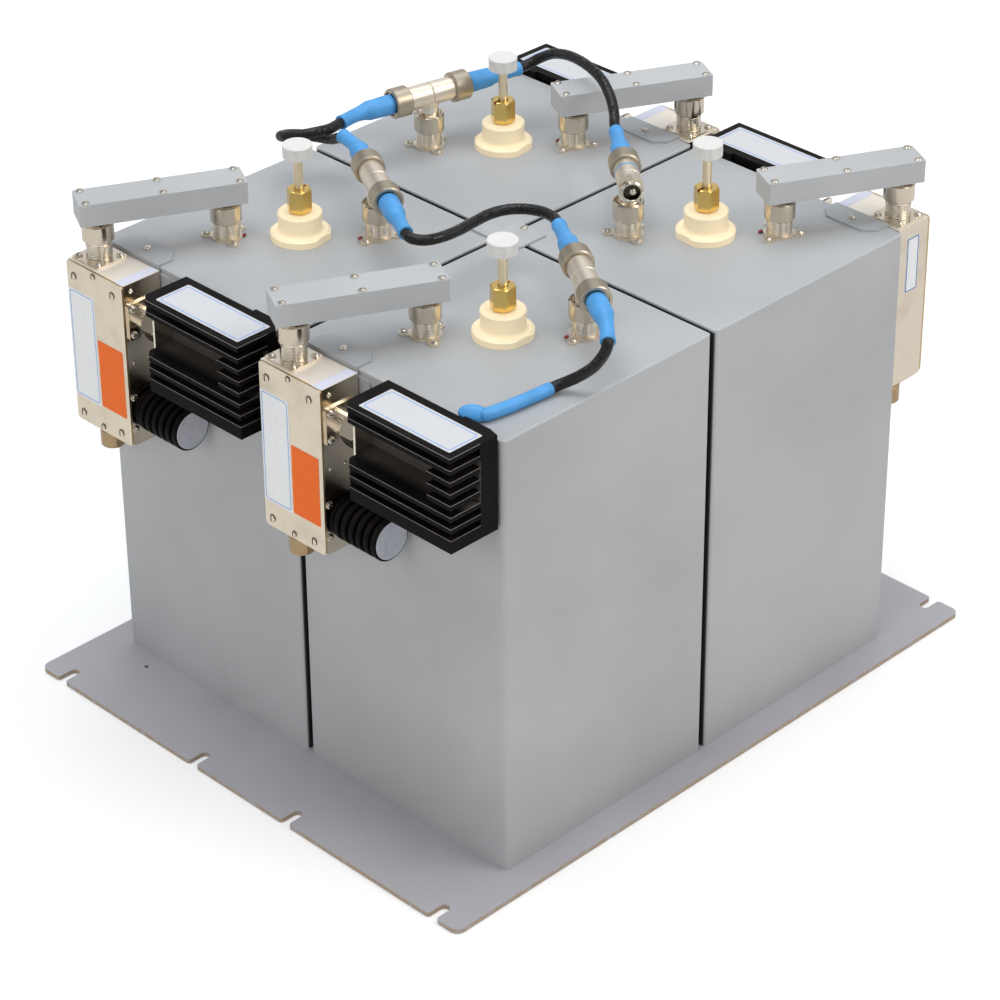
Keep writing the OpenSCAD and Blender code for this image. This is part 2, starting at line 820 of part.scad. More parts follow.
// Bent sheet bracket: a tab on the lid and a flange down the wall behind the isolator
module isolator_bracket() {
    tab_cut = 7;
    flange_from = isolator_near - 9;
    flange_w_total = isolator_w + 9;
    tab_end = wall_x + tab_l;
    translate([0, 0, lid_z])
        linear_extrude(bracket_t)
            polygon([
                [case_x, tab_mid - tab_w / 2], [tab_end - tab_cut, tab_mid - tab_w / 2],
                [tab_end, tab_mid - tab_w / 2 + tab_cut], [tab_end, tab_mid + tab_w / 2 - tab_cut],
                [tab_end - tab_cut, tab_mid + tab_w / 2], [case_x, tab_mid + tab_w / 2]
            ]);
    translate([case_x, tab_mid - tab_w / 2, lid_z - 6])
        cube([bracket_t, tab_w, 6 + EPS]);
    translate([wall_x, flange_from + flange_w_total / 2, lid_z - 4 - bracket_drop / 2])
        rotate([0, -90, 0])
            plate([bracket_drop, flange_w_total], bracket_t, 4);
}

module isolator_brackets() {
    color("gray")
        each_channel()
            isolator_bracket();
}

// Line bar between a cavity's input jack and its isolator

module on_bar(z) {
    translate([line_mid[0], line_mid[1], z])
        rotate([0, 0, line_angle])
            children();
}

module line_bar() {
    color("slategray")
        on_bar(bar_z)
            plate([bar_l, bar_w], bar_h - bar_cover_t, bar_r);
}

module line_bar_covers() {
    color("slategray")
        each_channel()
            on_bar(bar_cover_z)
                plate([bar_l, bar_w], bar_cover_t, bar_r);
}

// Loads

module heat_sink_load() {
    end_y = isolator_near - sink_gap;
    top_z = lid_z + sink_rise;
    fin_count = floor((sink_h - fin_t) / fin_pitch) + 1;
    base_x = case_x - 0.9;
    corner_cut = 5;
    far_y = end_y - sink_l;
    foot_slant = [2, 8];
    pocket_l = sink_l - pocket_end;
    bottom_t = sink_h - (fin_count - 1) * fin_pitch;
    color("dimgray")
        difference() {
            union() {
                translate([0, 0, top_z - sink_h])
                    linear_extrude(sink_h)
                        polygon([
                            [base_x, end_y], [base_x - sink_base, end_y],
                            [base_x - sink_base, far_y], [wall_x - foot_slant[0], far_y],
                            [wall_x, far_y + foot_slant[1]], [wall_x, far_y + sink_foot_l],
                            [base_x, far_y + sink_foot_l]
                        ]);
                for (k = [0:fin_count - 1]) {
                    t = k == fin_count - 1 ? bottom_t : fin_t;
                    translate([0, 0, top_z - k * fin_pitch - t])
                        linear_extrude(t)
                            polygon([
                                [base_x - sink_base + EPS, end_y], [base_x - sink_depth + corner_cut, end_y],
                                [base_x - sink_depth, end_y - corner_cut],
                                [base_x - sink_depth, far_y],
                                [base_x - sink_base + EPS, far_y]
                            ]);
                }
            }
            translate([base_x - sink_depth - 1, end_y - pocket_l, top_z - 5 * fin_pitch + EPS])
                cube([sink_depth - sink_base + 1, pocket_l + 1, 4 * fin_pitch - fin_t - 2 * EPS]);
        }
}

module small_load() {
    start = 2;
    flange_l = 3;
    total = ring_count * ring_pitch;
    gap = ring_pitch - ring_t;
    color("dimgray")
        on_near_side(lid_z - ring_drop) {
            cylinder(d = core_d, h = start + flange_l + total - gap);
            translate([0, 0, start])
                turned(ring_d - 1, flange_l - 1, 0.3);
            for (k = [0:ring_count - 1])
                translate([0, 0, start + flange_l + k * ring_pitch])
                    turned(ring_d, ring_t, 0.6);
        }
}

// Nuts and plug bodies

module coupling_nuts() {
    color("wheat") {
        each_channel() {
            translate([input_xy[0], input_xy[1], lid_z + coupling_rise])
                coupling_nut();
            translate([port_x, port_y, lid_z + coupling_rise])
                coupling_nut();
            translate([output_xy[0], output_xy[1], lid_z + coupling_rise])
                coupling_nut();
            on_near_side(lid_z - sink_port_drop)
                translate([0, 0, sink_gap - flange_t - 2 - coupling_l])
                    load_nut();
        }
        for (arm = ARMS)
            on_arm(arm, run_reach)
                coupling_nut();
    }
}

// The load's nut is hexagonal
module load_nut() {
    difference() {
        intersection() {
            cylinder(d = coupling_d / cos(30), h = coupling_l, $fn = 6);
            turned(coupling_d / cos(30), coupling_l, 1.2);
        }
        translate([0, 0, -1])
            cylinder(d = coupling_bore, h = coupling_l + 2);
    }
}

// Square plate that carries a plug under each end of a line bar
module plug_bodies() {
    base_l = bar_rise - shoulder_z + SEAT_GAP;
    seat_w = 18;
    seat_t = 0.9;
    color("wheat") {
        each_channel() {
            for (xy = [input_xy, port_xy])
                translate([xy[0], xy[1], lid_z]) {
                    plug_body(base_l);
                    translate([0, 0, bar_rise - seat_t])
                        rotate([0, 0, line_angle])
                            plate([seat_w, seat_w], seat_t, 2);
                }
            on_near_side(lid_z - sink_port_drop) {
                translate([0, 0, sink_gap / 2])
                    cylinder(d = barrel_d - 0.4, h = sink_gap / 2 - flange_t + EPS);
                translate([0, 0, sink_gap - flange_t])
                    plate([flange_w, flange_w], flange_t, 2);
            }
        }
        for (arm = ARMS)
            on_arm(arm, run_reach - coupling_rise) {
                plug_body(coupling_lip + 3 * SEAT_GAP);
                translate([0, 0, plug_top])
                    cylinder(d = ferrule_d, h = ferrule_l);
            }
    }
}

// Tees and the elbow

module run_end() {
    difference() {
        turned(barrel_d, run_reach + barrel_l - coupling_rise, 0.6);
        translate([0, 0, run_reach + barrel_l - coupling_rise - jack_bore_l])
            cylinder(d = jack_bore, h = jack_bore_l + EPS);
    }
    translate([0, 0, run_reach + barrel_l - coupling_rise - jack_bore_l - EPS])
        cylinder(d = contact_d, h = jack_bore_l - 2);
}

module leg() {
    plug_body(run_rise - shoulder_z);
    translate([0, 0, plug_top + 0.6])
        cylinder(d1 = neck_d, d2 = leg_d + 2, h = 1.2);
}

module tee_connectors() {
    color("wheat")
        for (tee = TEES) {
            on_arm(tee)
                run_end();
            on_arm([tee[0], tee[1] + 180])
                run_end();
            on_arm(tee)
                rotate([0, -90, 0])
                    translate([0, 0, -run_rise])
                        leg();
        }
}

module elbow_connector() {
    cap_reach = 11.5;
    cap_l = 5;
    cap_recess_d = 9;
    color("wheat")
        difference() {
            union() {
                on_arm([1, elbow_turn])
                    run_end();
                on_arm([1, elbow_turn + 180]) {
                    cylinder(d = run_d, h = cap_reach - cap_l + EPS);
                    translate([0, 0, cap_reach - cap_l])
                        cylinder(d = run_d / cos(30) * 0.98, h = cap_l, $fn = 6);
                }
                on_arm([1, elbow_turn])
                    rotate([0, -90, 0])
                        translate([0, 0, -run_rise])
                            leg();
            }
            on_arm([1, elbow_turn + 180], cap_reach - 1.6)
                cylinder(d = cap_recess_d, h = 2);
        }
}

// Blue boots: over the plug's ferrule, a taper, and a sleeve that bends with the cable

module boot(arm) {
    joint = boot_l + taper_l;
    difference() {
        union() {
            rotate_extrude()
                polygon([
                    [0, 0], [boot_d / 2 - 0.4, 0], [boot_d / 2, 1], [boot_d / 2, boot_l],
                    [sleeve_d / 2 + 0.6, boot_l + taper_l * 0.8], [sleeve_d / 2 + 0.1, joint], [0, joint]
                ]);
            translate([0, 0, joint])
                sphere(d = sleeve_d + 0.4);
            translate([0, 0, joint])
                rotate([-arm[2], arm[3], 0])
                    cylinder(d = sleeve_d, h = sleeve_l);
        }
        translate([0, 0, -EPS])
            cylinder(d = ferrule_d + 2 * nut_clear, h = ferrule_l + 1);
        translate([0, 0, joint])
            rotate([-arm[2], arm[3], 0])
                translate([0, 0, sleeve_l - sleeve_bore_l])
                    cylinder(d = boot_bore, h = sleeve_bore_l + 1);
    }
}

module cable_boots() {
    color("dodgerblue")
        for (arm = ARMS)
            on_arm(arm, boot_start)
                boot(arm);
}

// Rounded blue end of the output lead, which lies on the lid beside the heat sink
module lead_end() {
    last = OUTPUT_LEAD[len(OUTPUT_LEAD) - 1];
    before = OUTPUT_LEAD[len(OUTPUT_LEAD) - 2];
    ahead = (last - before) / norm(last - before);
    color("dodgerblue")
        translate(last + ahead * lead_end_d / 2)
            rotate([0, 0, lead_end_turn]) {
                sphere(d = lead_end_d);
                rotate([0, 90, 0])
                    cylinder(d = lead_end_d, h = lead_end_l - lead_end_d);
                translate([lead_end_l - lead_end_d, 0, 0])
                    sphere(d = lead_end_d);
            }
}

// Cables swept along their routes

CABLE_SIDES = 10;

function unit(v) = v / norm(v);
function spot(p, s) = let (i = min(floor(s), len(p) - 2), t = s - i)
    let (a = p[max(i - 1, 0)], b = p[i], c = p[i + 1], d = p[min(i + 2, len(p) - 1)])
    0.5 * (2 * b + (c - a) * t + (2 * a - 5 * b + 4 * c - d) * t * t + (3 * b - a - 3 * c + d) * t * t * t);
function heading(p, s) = unit(spot(p, min(s + 0.05, len(p) - 1)) - spot(p, max(s - 0.05, 0)));
function ring(p, s, r) = let (t = heading(p, s), side = unit(cross(t, [0, 0, 1])), up = cross(side, t))
    [for (k = [0:CABLE_SIDES - 1]) let (a = 360 * k / CABLE_SIDES)
        spot(p, s) + r * (cos(a) * side + sin(a) * up)];

module swept(p, d) {
    n = len(p);
    rings = [for (i = [0:n - 1]) each ring(p, i, d / 2)];
    last = (n - 1) * CABLE_SIDES;
    faces = concat(
        [[for (k = [0:CABLE_SIDES - 1]) k]],
        [for (i = [0:n - 2]) for (k = [0:CABLE_SIDES - 1])
            let (a = i * CABLE_SIDES + k, b = i * CABLE_SIDES + (k + 1) % CABLE_SIDES)
            [a, a + CABLE_SIDES, b + CABLE_SIDES, b]],
        [[for (k = [CABLE_SIDES - 1:-1:0]) last + k]]
    );
    polyhedron(rings, faces);
}

module jumper_front_left() {
    color("black")
        swept(FRONT_LEFT, cable_d);
}

module jumper_left_back() {
    color("black")
        swept(LEFT_BACK, cable_d);
}

module jumper_back_right() {
    color("black")
        swept(BACK_RIGHT, cable_d);
}

module output_lead() {
    color("black")
        swept(OUTPUT_LEAD, cable_d);
}

// Screws, all seen from their heads

// Small screws on an isolator's near side: offset from its ports, drop below the lid
SIDE_SCREWS = [[-8.6, 6.6], [-9.2, 57.3], [3, 58.1]];

module screws() {
    cover_screw_d = 5;
    cover_screw_h = 1.5;
    side_screw_d = 3;
    side_screw_h = 0.8;
    bar_inset = [4.5, 2.7];
    color("silver") {
        each_channel() {
            ear_screws(input_xy, INPUT_EARS);
            ear_screws(output_xy, OUTPUT_EARS);
            on_bar(bar_z + bar_h)
                for (x = [-1, 0, 1], y = [-1, 1])
                    translate([x * (bar_l / 2 - bar_inset[0]), y * (bar_w / 2 - bar_inset[1]), 0])
                        pan_screw(cover_screw_d, cover_screw_h);
            translate([port_x, port_y, isolator_top_z + flange_t])
                square_screws(flange_pitch)
                    pan_screw(screw_d, screw_h);
            on_near_side(lid_z - sink_port_drop)
                translate([0, 0, flange_t])
                    square_screws(flange_pitch)
                        pan_screw(screw_d, screw_h);
            on_near_side(lid_z - ring_drop)
                square_screws(ring_screw_pitch)
                    pan_screw(screw_d, screw_h);
            for (place = SIDE_SCREWS)
                on_near_side(lid_z - place[1])
                    translate([place[0], 0, 0])
                        pan_screw(side_screw_d, side_screw_h);
            cover_screws();
            translate([wall_x + tab_l / 2, tab_mid, lid_z + bracket_t])
                pan_screw(cover_screw_d, cover_screw_h);
        }
        for (xy = TIE_SCREWS)
            translate([xy[0], xy[1], lid_z + tie_t])
                pan_screw(cover_screw_d, cover_screw_h);
    }
}

module ear_screws(xy, angles) {
    for (a = angles)
        translate([xy[0], xy[1], lid_z + flange_t])
            rotate([0, 0, a])
                translate([ear_pcd_r, 0, 0])
                    pan_screw(screw_d, screw_h);
}

module cover_screws() {
    corner_d = 5.2;
    edge_d = 4.2;
    edge_inset = 3.3;
    for (y = [10.5, isolator_w - 6], z = [6, isolator_h - 10])
        on_cover(y, z)
            pan_screw(corner_d, screw_h - 0.5);
    for (z = [edge_inset, isolator_h - edge_inset])
        on_cover(isolator_w / 2 + 1.5, z)
            pan_screw(edge_d, screw_h - 0.5);
}

// Puts children on the isolator's cover, pointing outwards, measured from its near lower corner
module on_cover(y, z) {
    translate([front_x, isolator_near + y, isolator_z + z])
        rotate([0, -90, 0])
            children();
}

base_plate();
tie_plate();
line_bar_covers();
isolator_covers();
isolator_brackets();
cavity_jacks();
coupling_loops();
isolator_ports();
transmitter_ports();
coupling_nuts();
plug_bodies();
tee_connectors();
elbow_connector();
cable_boots();
lead_end();
jumper_front_left();
jumper_left_back();
jumper_back_right();
output_lead();
screws();
for (i = [0:3]) {
    at_channel(i) cavity();
    at_channel(i) resonator();
    at_channel(i) rotate([0, 0, BOSS_TURN[i]]) tuning_boss();
    at_channel(i) lock_nut();
    at_channel(i) tuning_rod();
    at_channel(i) tuning_knob();
    at_channel(i) isolator();
    at_channel(i) line_bar();
    at_channel(i) heat_sink_load();
    at_channel(i) small_load();
}
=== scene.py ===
"""Looks of the transmitter combiner.

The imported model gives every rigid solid. This script lights it, finishes it,
and adds what is too soft or too fine for the solids: bent cables and boots,
threads, labels, lacquer seals, and the ring, cap and plug on the elbow.
"""

from __future__ import annotations

import logging
import math
from collections.abc import Sequence
from dataclasses import dataclass, field
from enum import Enum

import bpy
from mathutils import Matrix, Vector


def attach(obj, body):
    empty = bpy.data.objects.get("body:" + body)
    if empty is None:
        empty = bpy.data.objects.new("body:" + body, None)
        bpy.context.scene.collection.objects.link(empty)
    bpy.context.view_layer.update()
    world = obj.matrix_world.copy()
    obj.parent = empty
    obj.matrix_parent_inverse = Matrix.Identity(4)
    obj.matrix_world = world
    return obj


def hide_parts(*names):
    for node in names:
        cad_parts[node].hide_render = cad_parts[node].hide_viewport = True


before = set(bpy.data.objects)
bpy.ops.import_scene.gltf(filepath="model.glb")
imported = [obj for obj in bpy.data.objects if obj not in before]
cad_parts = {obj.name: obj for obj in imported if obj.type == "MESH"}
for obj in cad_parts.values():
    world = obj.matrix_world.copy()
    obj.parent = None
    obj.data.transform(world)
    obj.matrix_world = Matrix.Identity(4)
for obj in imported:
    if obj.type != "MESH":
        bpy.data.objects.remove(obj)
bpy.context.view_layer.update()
LOG = logging.getLogger("combiner")

MM = 0.001
TINY = 1e-9
Colour = tuple[float, float, float, float]
Point = tuple[float, float, float]

# Driving sizes in millimetres, as in the part's source
PLATE_T = 3.2
CAVITY_W = 177.8
CAVITY_GAP = 3.6
CAVITY_H = 309.0
BRACKET_T = 1.5
INPUT_XY = (-33.3, 32.6)
OUTPUT_XY = (34.5, -35.0)
RUN_RISE = 38.0
ISOLATOR_W = 54.0
ISOLATOR_DEPTH = 31.5
ISOLATOR_DROP = 1.2
ISOLATOR_NEAR = 30.0
PORT_INSET = 14.0
SINK_RISE = 4.8
SINK_BACK = 0.9
SINK_BASE = 13.5
SINK_DEPTH = 37.5
SINK_CLEAR = 11.1
FIN_T = 3.2
FIN_PITCH = 7.85
RING_DROP = 93.2

# Levels and places that follow from them, x and y in a channel's own frame
LID_Z = PLATE_T + CAVITY_H
RUN_Z = LID_Z + RUN_RISE
SINK_Z = LID_Z + SINK_RISE
ISOLATOR_TOP_Z = LID_Z - ISOLATOR_DROP
PITCH = (CAVITY_W + CAVITY_GAP) / 2
CASE_X = -CAVITY_W / 2 - BRACKET_T
FRONT_X = CASE_X - ISOLATOR_DEPTH
FAR_Y = ISOLATOR_NEAR + ISOLATOR_W
PORT_XY = (CASE_X - ISOLATOR_DEPTH / 2, FAR_Y - PORT_INSET)
SINK_X = CASE_X - SINK_BACK
SINK_END_Y = SINK_CLEAR + ISOLATOR_W + ISOLATOR_NEAR - 2 * PITCH


def paint(red: int, green: int, blue: int) -> Colour:
    """Turn an 8-bit display colour into a linear one.

    Args:
        red: red from 0 to 255.
        green: green from 0 to 255.
        blue: blue from 0 to 255.

    Returns:
        The linear colour, opaque.
    """

    def linear(level: int) -> float:
        """Undo the display curve for one channel."""
        part = level / 255
        return part / 12.92 if part <= 0.04045 else ((part + 0.055) / 1.055) ** 2.4

    return (linear(red), linear(green), linear(blue), 1.0)


def shaded(colour: Colour, share: float, lift: float = 0.0) -> Colour:
    """Scale a colour's brightness, and lift it, up to white."""
    return tuple(min(1.0, part * share + lift) for part in colour[:3]) + (1.0,)


def metres(route: list[Point]) -> list[Vector]:
    """Turn a route's points from millimetres into metres."""
    return [Vector(point) * MM for point in route]


def shift(point: Point) -> Matrix:
    """Placement at a point that is given in millimetres."""
    return Matrix.Translation(Vector(point) * MM)


def turned(degrees: float, axis: str) -> Matrix:
    """Turn about one axis."""
    return Matrix.Rotation(math.radians(degrees), 4, axis)


# Routes of the cables' middle lines in millimetres, as in the part's source
FRONT_LEFT = [
    (-88, -1.7, 350.2), (-91, -7.2, 350.2), (-92.6, -14, 349.8), (-87, -20.6, 349),
    (-76, -23.4, 348.2), (-62, -23.5, 347.5), (-46, -21.6, 347), (-33, -21.4, 347.2),
    (-22.5, -25.4, 347.8), (-14.8, -33.6, 348.5), (-11.2, -44, 349.3), (-12, -54.5, 350),
    (-15, -62.3, 350.2), (-18.4, -67.5, 350.2), (-21.4, -72.1, 350.2),
]
LEFT_BACK = [
    (-8, 135.6, 350.2), (-14.2, 134.9, 350.2), (-25.5, 132.6, 350.8), (-36.5, 134, 351.6),
    (-45.5, 140.6, 350.2), (-49.5, 150, 347.4), (-46.5, 157.2, 344.4), (-38, 159.8, 341.6),
    (-29.4, 156, 339.8), (-24.4, 147, 339.4), (-22.6, 136, 341), (-23.6, 126.5, 345.6),
    (-26.4, 119.8, 349.8), (-28, 113, 350.2),
]
BACK_RIGHT = [
    (119, 112.4, 350.2), (126, 110.8, 350.2), (133.5, 109.6, 351.4), (140, 104.5, 355.5),
    (141.4, 93, 361.8), (138.4, 75, 366.8), (133.4, 55, 368.4), (127.4, 36.6, 366.8),
    (120.6, 22, 361.6), (113.6, 11.6, 355.6), (107.4, 5.2, 351.6), (102, -1.1, 350.2),
    (97, -7, 350.2),
]
OUTPUT_LEAD = [
    (-91.8, -177.7, 348), (-97.3, -183.5, 346.5), (-100.8, -184, 340.4),
    (-104.8, -179.4, 331.4), (-109.3, -171.6, 323.5), (-114.8, -164.8, 318.6),
    (-122, -161.2, 316.4), (-136, -159.8, 316.2), (-151, -158.4, 316.2),
    (-166, -156, 316.2),
]


class Channel(Enum):
    """The four channels by their place on the plate, as (name, x sign, y sign, turn)."""

    FRONT = ("front", -1, -1, 0)
    RIGHT = ("right", 1, -1, 180)
    BACK = ("back", 1, 1, 180)
    LEFT = ("left", -1, 1, 0)

    @property
    def label(self) -> str:
        """Name of the channel in the model's node names."""
        return self.value[0]

    @property
    def matrix(self) -> Matrix:
        """Placement of the channel's own frame on the plate."""
        _, x, y, turn = self.value
        return shift((x * PITCH, y * PITCH, 0)) @ turned(turn, "Z")

    def point(self, x: float, y: float, z: float) -> Point:
        """Bring a place in the channel's own frame onto the plate, in millimetres.

        Args:
            x: place along the channel's X.
            y: place along the channel's Y.
            z: height.

        Returns:
            The place on the plate.
        """
        _, sign_x, sign_y, turn = self.value
        way = -1 if turn else 1
        return (sign_x * PITCH + way * x, sign_y * PITCH + way * y, z)


FRONT_TEE = Channel.FRONT.point(*OUTPUT_XY, RUN_Z)
LEFT_TEE = Channel.LEFT.point(*OUTPUT_XY, RUN_Z)
BACK_TEE = Channel.BACK.point(*OUTPUT_XY, RUN_Z)
ELBOW = Channel.RIGHT.point(*OUTPUT_XY, RUN_Z)
ELBOW_TURN = 50.0


class Wire:
    """A shader socket whose arithmetic adds Math nodes."""

    def __init__(self, recipe: Recipe, socket: bpy.types.NodeSocket) -> None:
        """Keep the socket and the recipe it belongs to."""
        self.recipe = recipe
        self.socket = socket

    def _math(self, operation: str, *operands: Wire | float) -> Wire:
        """Add one Math node.

        Args:
            operation: the node's operation.
            operands: its inputs in order.

        Returns:
            The node's value.
        """
        sockets = dict(enumerate(operands))
        made = self.recipe.node("ShaderNodeMath", {"operation": operation}, sockets)
        return Wire(self.recipe, made.outputs[0])

    def __add__(self, other: Wire | float) -> Wire:
        """Sum with another value."""
        return self._math("ADD", self, other)

    __radd__ = __add__

    def __sub__(self, other: Wire | float) -> Wire:
        """Difference from another value."""
        return self._math("SUBTRACT", self, other)

    def __rsub__(self, other: float) -> Wire:
        """Difference of a number from this value."""
        return self._math("SUBTRACT", other, self)

    def __mul__(self, other: Wire | float) -> Wire:
        """Product with another value."""
        return self._math("MULTIPLY", self, other)

    __rmul__ = __mul__

    def __abs__(self) -> Wire:
        """Size without sign."""
        return self._math("ABSOLUTE", self)

    def least(self, other: Wire | float) -> Wire:
        """Smaller of two values."""
        return self._math("MINIMUM", self, other)

    def most(self, other: Wire | float) -> Wire:
        """Larger of two values."""
        return self._math("MAXIMUM", self, other)

    def root(self) -> Wire:
        """Square root."""
        return self._math("SQRT", self)

    def part(self) -> Wire:
        """What is left over a whole number."""
        return self._math("FRACT", self)

    def sine(self) -> Wire:
        """Sine of a value in radians."""
        return self._math("SINE", self)

    def rise(self, low: float, high: float) -> Wire:
        """Smooth step from 0 below low to 1 above high.

        Args:
            low: value up to which the step is 0.
            high: value from which it is 1.

        Returns:
            The step's value.
        """
        ramp = self.recipe.node(
            "ShaderNodeMapRange",
            {"interpolation_type": "SMOOTHSTEP"},
            {0: self, 1: low, 2: high, 3: 0.0, 4: 1.0},
        )
        return Wire(self.recipe, ramp.outputs[0])


class Board:
    """A node tree that starts empty and is filled node by node."""

    def __init__(self, tree: bpy.types.NodeTree) -> None:
        """Clear the tree and keep it."""
        self.tree = tree
        self.tree.nodes.clear()

    def node(
        self,
        kind: str,
        settings: dict[str, object] | None = None,
        sockets: dict[int | str, object] | None = None,
    ) -> bpy.types.Node:
        """Add a node.

        Args:
            kind: the node's type.
            settings: its properties, with a ramp's colours under "stops".
            sockets: values or links of its inputs, by index or name.

        Returns:
            The new node.
        """
        made = self.tree.nodes.new(kind)
        for key, value in (settings or {}).items():
            if key == "stops":
                stops = made.color_ramp.elements
                while len(stops) < len(value):
                    stops.new(0.5)
                for element, (position, colour) in zip(list(stops), value):
                    element.position = position
                    element.color = colour
            else:
                setattr(made, key, value)
        for key, value in (sockets or {}).items():
            link = value.socket if isinstance(value, Wire) else value
            if isinstance(link, bpy.types.NodeSocket):
                self.tree.links.new(link, made.inputs[key])
            else:
                made.inputs[key].default_value = link
        return made


class Recipe(Board):
    """Node tree of one material that ends in a Principled shader."""

    def __init__(self, name: str) -> None:
        """Start an empty tree with its shader and output.

        Args:
            name: the material's name.
        """
        self.material = bpy.data.materials.new(name)
        self.material.use_nodes = True
        super().__init__(self.material.node_tree)
        self.shader = self.node("ShaderNodeBsdfPrincipled")
        self.output = self.node("ShaderNodeOutputMaterial", sockets={0: self.shader.outputs[0]})

    def place(self) -> bpy.types.NodeSocket:
        """Object coordinates, which are metres in the model's frame."""
        return self.node("ShaderNodeTexCoord").outputs["Object"]

    def facing(self) -> tuple[Wire, Wire, Wire]:
        """Components of the face's own normal."""
        return self.split(self.node("ShaderNodeNewGeometry").outputs["True Normal"])

    def chart(self) -> bpy.types.NodeSocket:
        """The piece's own UV map."""
        return self.node("ShaderNodeTexCoord").outputs["UV"]

    def split(self, vector: bpy.types.NodeSocket) -> tuple[Wire, Wire, Wire]:
        """Components of a vector."""
        made = self.node("ShaderNodeSeparateXYZ", sockets={0: vector})
        return tuple(Wire(self, made.outputs[k]) for k in range(3))

    def stretch(self, vector: bpy.types.NodeSocket, scale: Point) -> bpy.types.NodeSocket:
        """Scale a vector, so that a pattern is drawn out along an axis."""
        sockets = {"Vector": vector, "Scale": scale}
        return self.node("ShaderNodeMapping", {"vector_type": "POINT"}, sockets).outputs[0]

    def noise(self, vector: bpy.types.NodeSocket, scale: float, detail: float = 2.0) -> Wire:
        """Cloudy noise about one half."""
        sockets = {"Vector": vector, "Scale": scale, "Detail": detail}
        return Wire(self, self.node("ShaderNodeTexNoise", sockets=sockets).outputs[0])

    def blend(self, share: Wire, first: object, second: object) -> bpy.types.NodeSocket:
        """Mix two colours.

        Args:
            share: 0 for the first colour and 1 for the second.
            first: a colour or a colour socket.
            second: a colour or a colour socket.

        Returns:
            The mixed colour.
        """
        sockets = {0: share, 6: first, 7: second}
        return self.node("ShaderNodeMix", {"data_type": "RGBA"}, sockets).outputs[2]

    def tint(self, share: Wire, colour: Colour) -> None:
        """Lay a second colour over the base colour already there."""
        base = self.shader.inputs["Base Color"]
        self.tree.links.new(self.blend(share, base.links[0].from_socket, colour), base)

    def roughen(self, extra: Wire) -> None:
        """Add to the roughness already there.

        Args:
            extra: what is added.
        """
        rough = self.shader.inputs["Roughness"]
        before = Wire(self, rough.links[0].from_socket)
        self.tree.links.new((before + extra).socket, rough)

    def bump(self, height: Wire, distance: float, strength: float = 1.0) -> None:
        """Raise the surface by a height field, over any bump already there.

        Args:
            height: the height field.
            distance: height of a field of one, in metres.
            strength: share of it that shows.
        """
        before = self.shader.inputs["Normal"]
        sockets: dict[int | str, object] = {
            "Height": height, "Distance": distance, "Strength": strength,
        }
        if before.is_linked:
            sockets["Normal"] = before.links[0].from_socket
        made = self.node("ShaderNodeBump", sockets=sockets)
        self.tree.links.new(made.outputs[0], before)

    def feed(self, **sockets: object) -> None:
        """Set or link the shader's sockets, written with underscores for spaces.

        Args:
            sockets: values or links by name.
        """
        for key, value in sockets.items():
            name = " ".join(word.capitalize() for word in key.split("_")).replace("Ior", "IOR")
            link = value.socket if isinstance(value, Wire) else value
            if isinstance(link, bpy.types.NodeSocket):
                self.tree.links.new(link, self.shader.inputs[name])
            else:
                self.shader.inputs[name].default_value = link


@dataclass(frozen=True)
class Finish:
    """A finish of the combiner, made once and shared by its pieces."""

    name: str
    colour: Colour

    def material(self) -> bpy.types.Material:
        """The finish's material, made at its first use.

        Returns:
            The material.
        """
        found = bpy.data.materials.get(self.name)
        if found:
            return found
        recipe = Recipe(self.name)
        self.mix(recipe)
        recipe.material.diffuse_color = self.colour
        return recipe.material

    def mix(self, recipe: Recipe) -> None:
        """Fill the recipe's shader."""
        raise NotImplementedError


@dataclass(frozen=True)
class SprayedPaint(Finish):
    """Sprayed enamel on sheet metal with a fine peel and rubbed edges."""

    roughness: float = 0.4
    peel: float = 0.03 * MM
    dust: Colour = (0.75, 0.75, 0.73, 1.0)
    steel: Colour = (0.72, 0.73, 0.74, 1.0)
    grime: Colour = (0.012, 0.012, 0.013, 1.0)

    def rubbed(self, recipe: Recipe, x: Wire, y: Wire, z: Wire) -> Wire | None:
        """Share of rubbed edge at a place, or None where no edge is rubbed."""
        return None

    def grimed(self, x: Wire, y: Wire, z: Wire) -> Wire | None:
        """Share of painted shade at a place, or None where no shade is painted."""
        return None

    def mix(self, recipe: Recipe) -> None:
        """Fill the recipe's shader.

        Args:
            recipe: the material's node tree.
        """
        place = recipe.place()
        drift = recipe.noise(place, 7.0, 3.0)
        speck = recipe.noise(place, 1400.0, 1.0)
        deep, pale = shaded(self.colour, 0.93), shaded(self.colour, 1.07)
        colour = recipe.blend(drift.rise(0.3, 0.7), deep, pale)
        dust = recipe.noise(place, 260.0, 4.0).rise(0.62, 0.8)
        colour = recipe.blend(dust * 0.12, colour, self.dust)
        rough = self.roughness + 0.1 * drift + 0.08 * speck
        edge = self.rubbed(recipe, *recipe.split(place))
        if edge is not None:
            colour = recipe.blend(edge * 0.12, colour, self.steel)
            rough = rough - 0.1 * edge
        # Painted shade: near-black laid on the walls of the gaps between the cavities
        grime = self.grimed(*recipe.split(place))
        if grime is not None:
            colour = recipe.blend(grime, colour, self.grime)
        recipe.feed(base_color=colour, roughness=rough, specular_ior_level=0.45)
        recipe.bump(recipe.noise(place, 520.0, 2.0), self.peel, 0.5)
        recipe.bump(speck, self.peel * 0.5, 0.35)


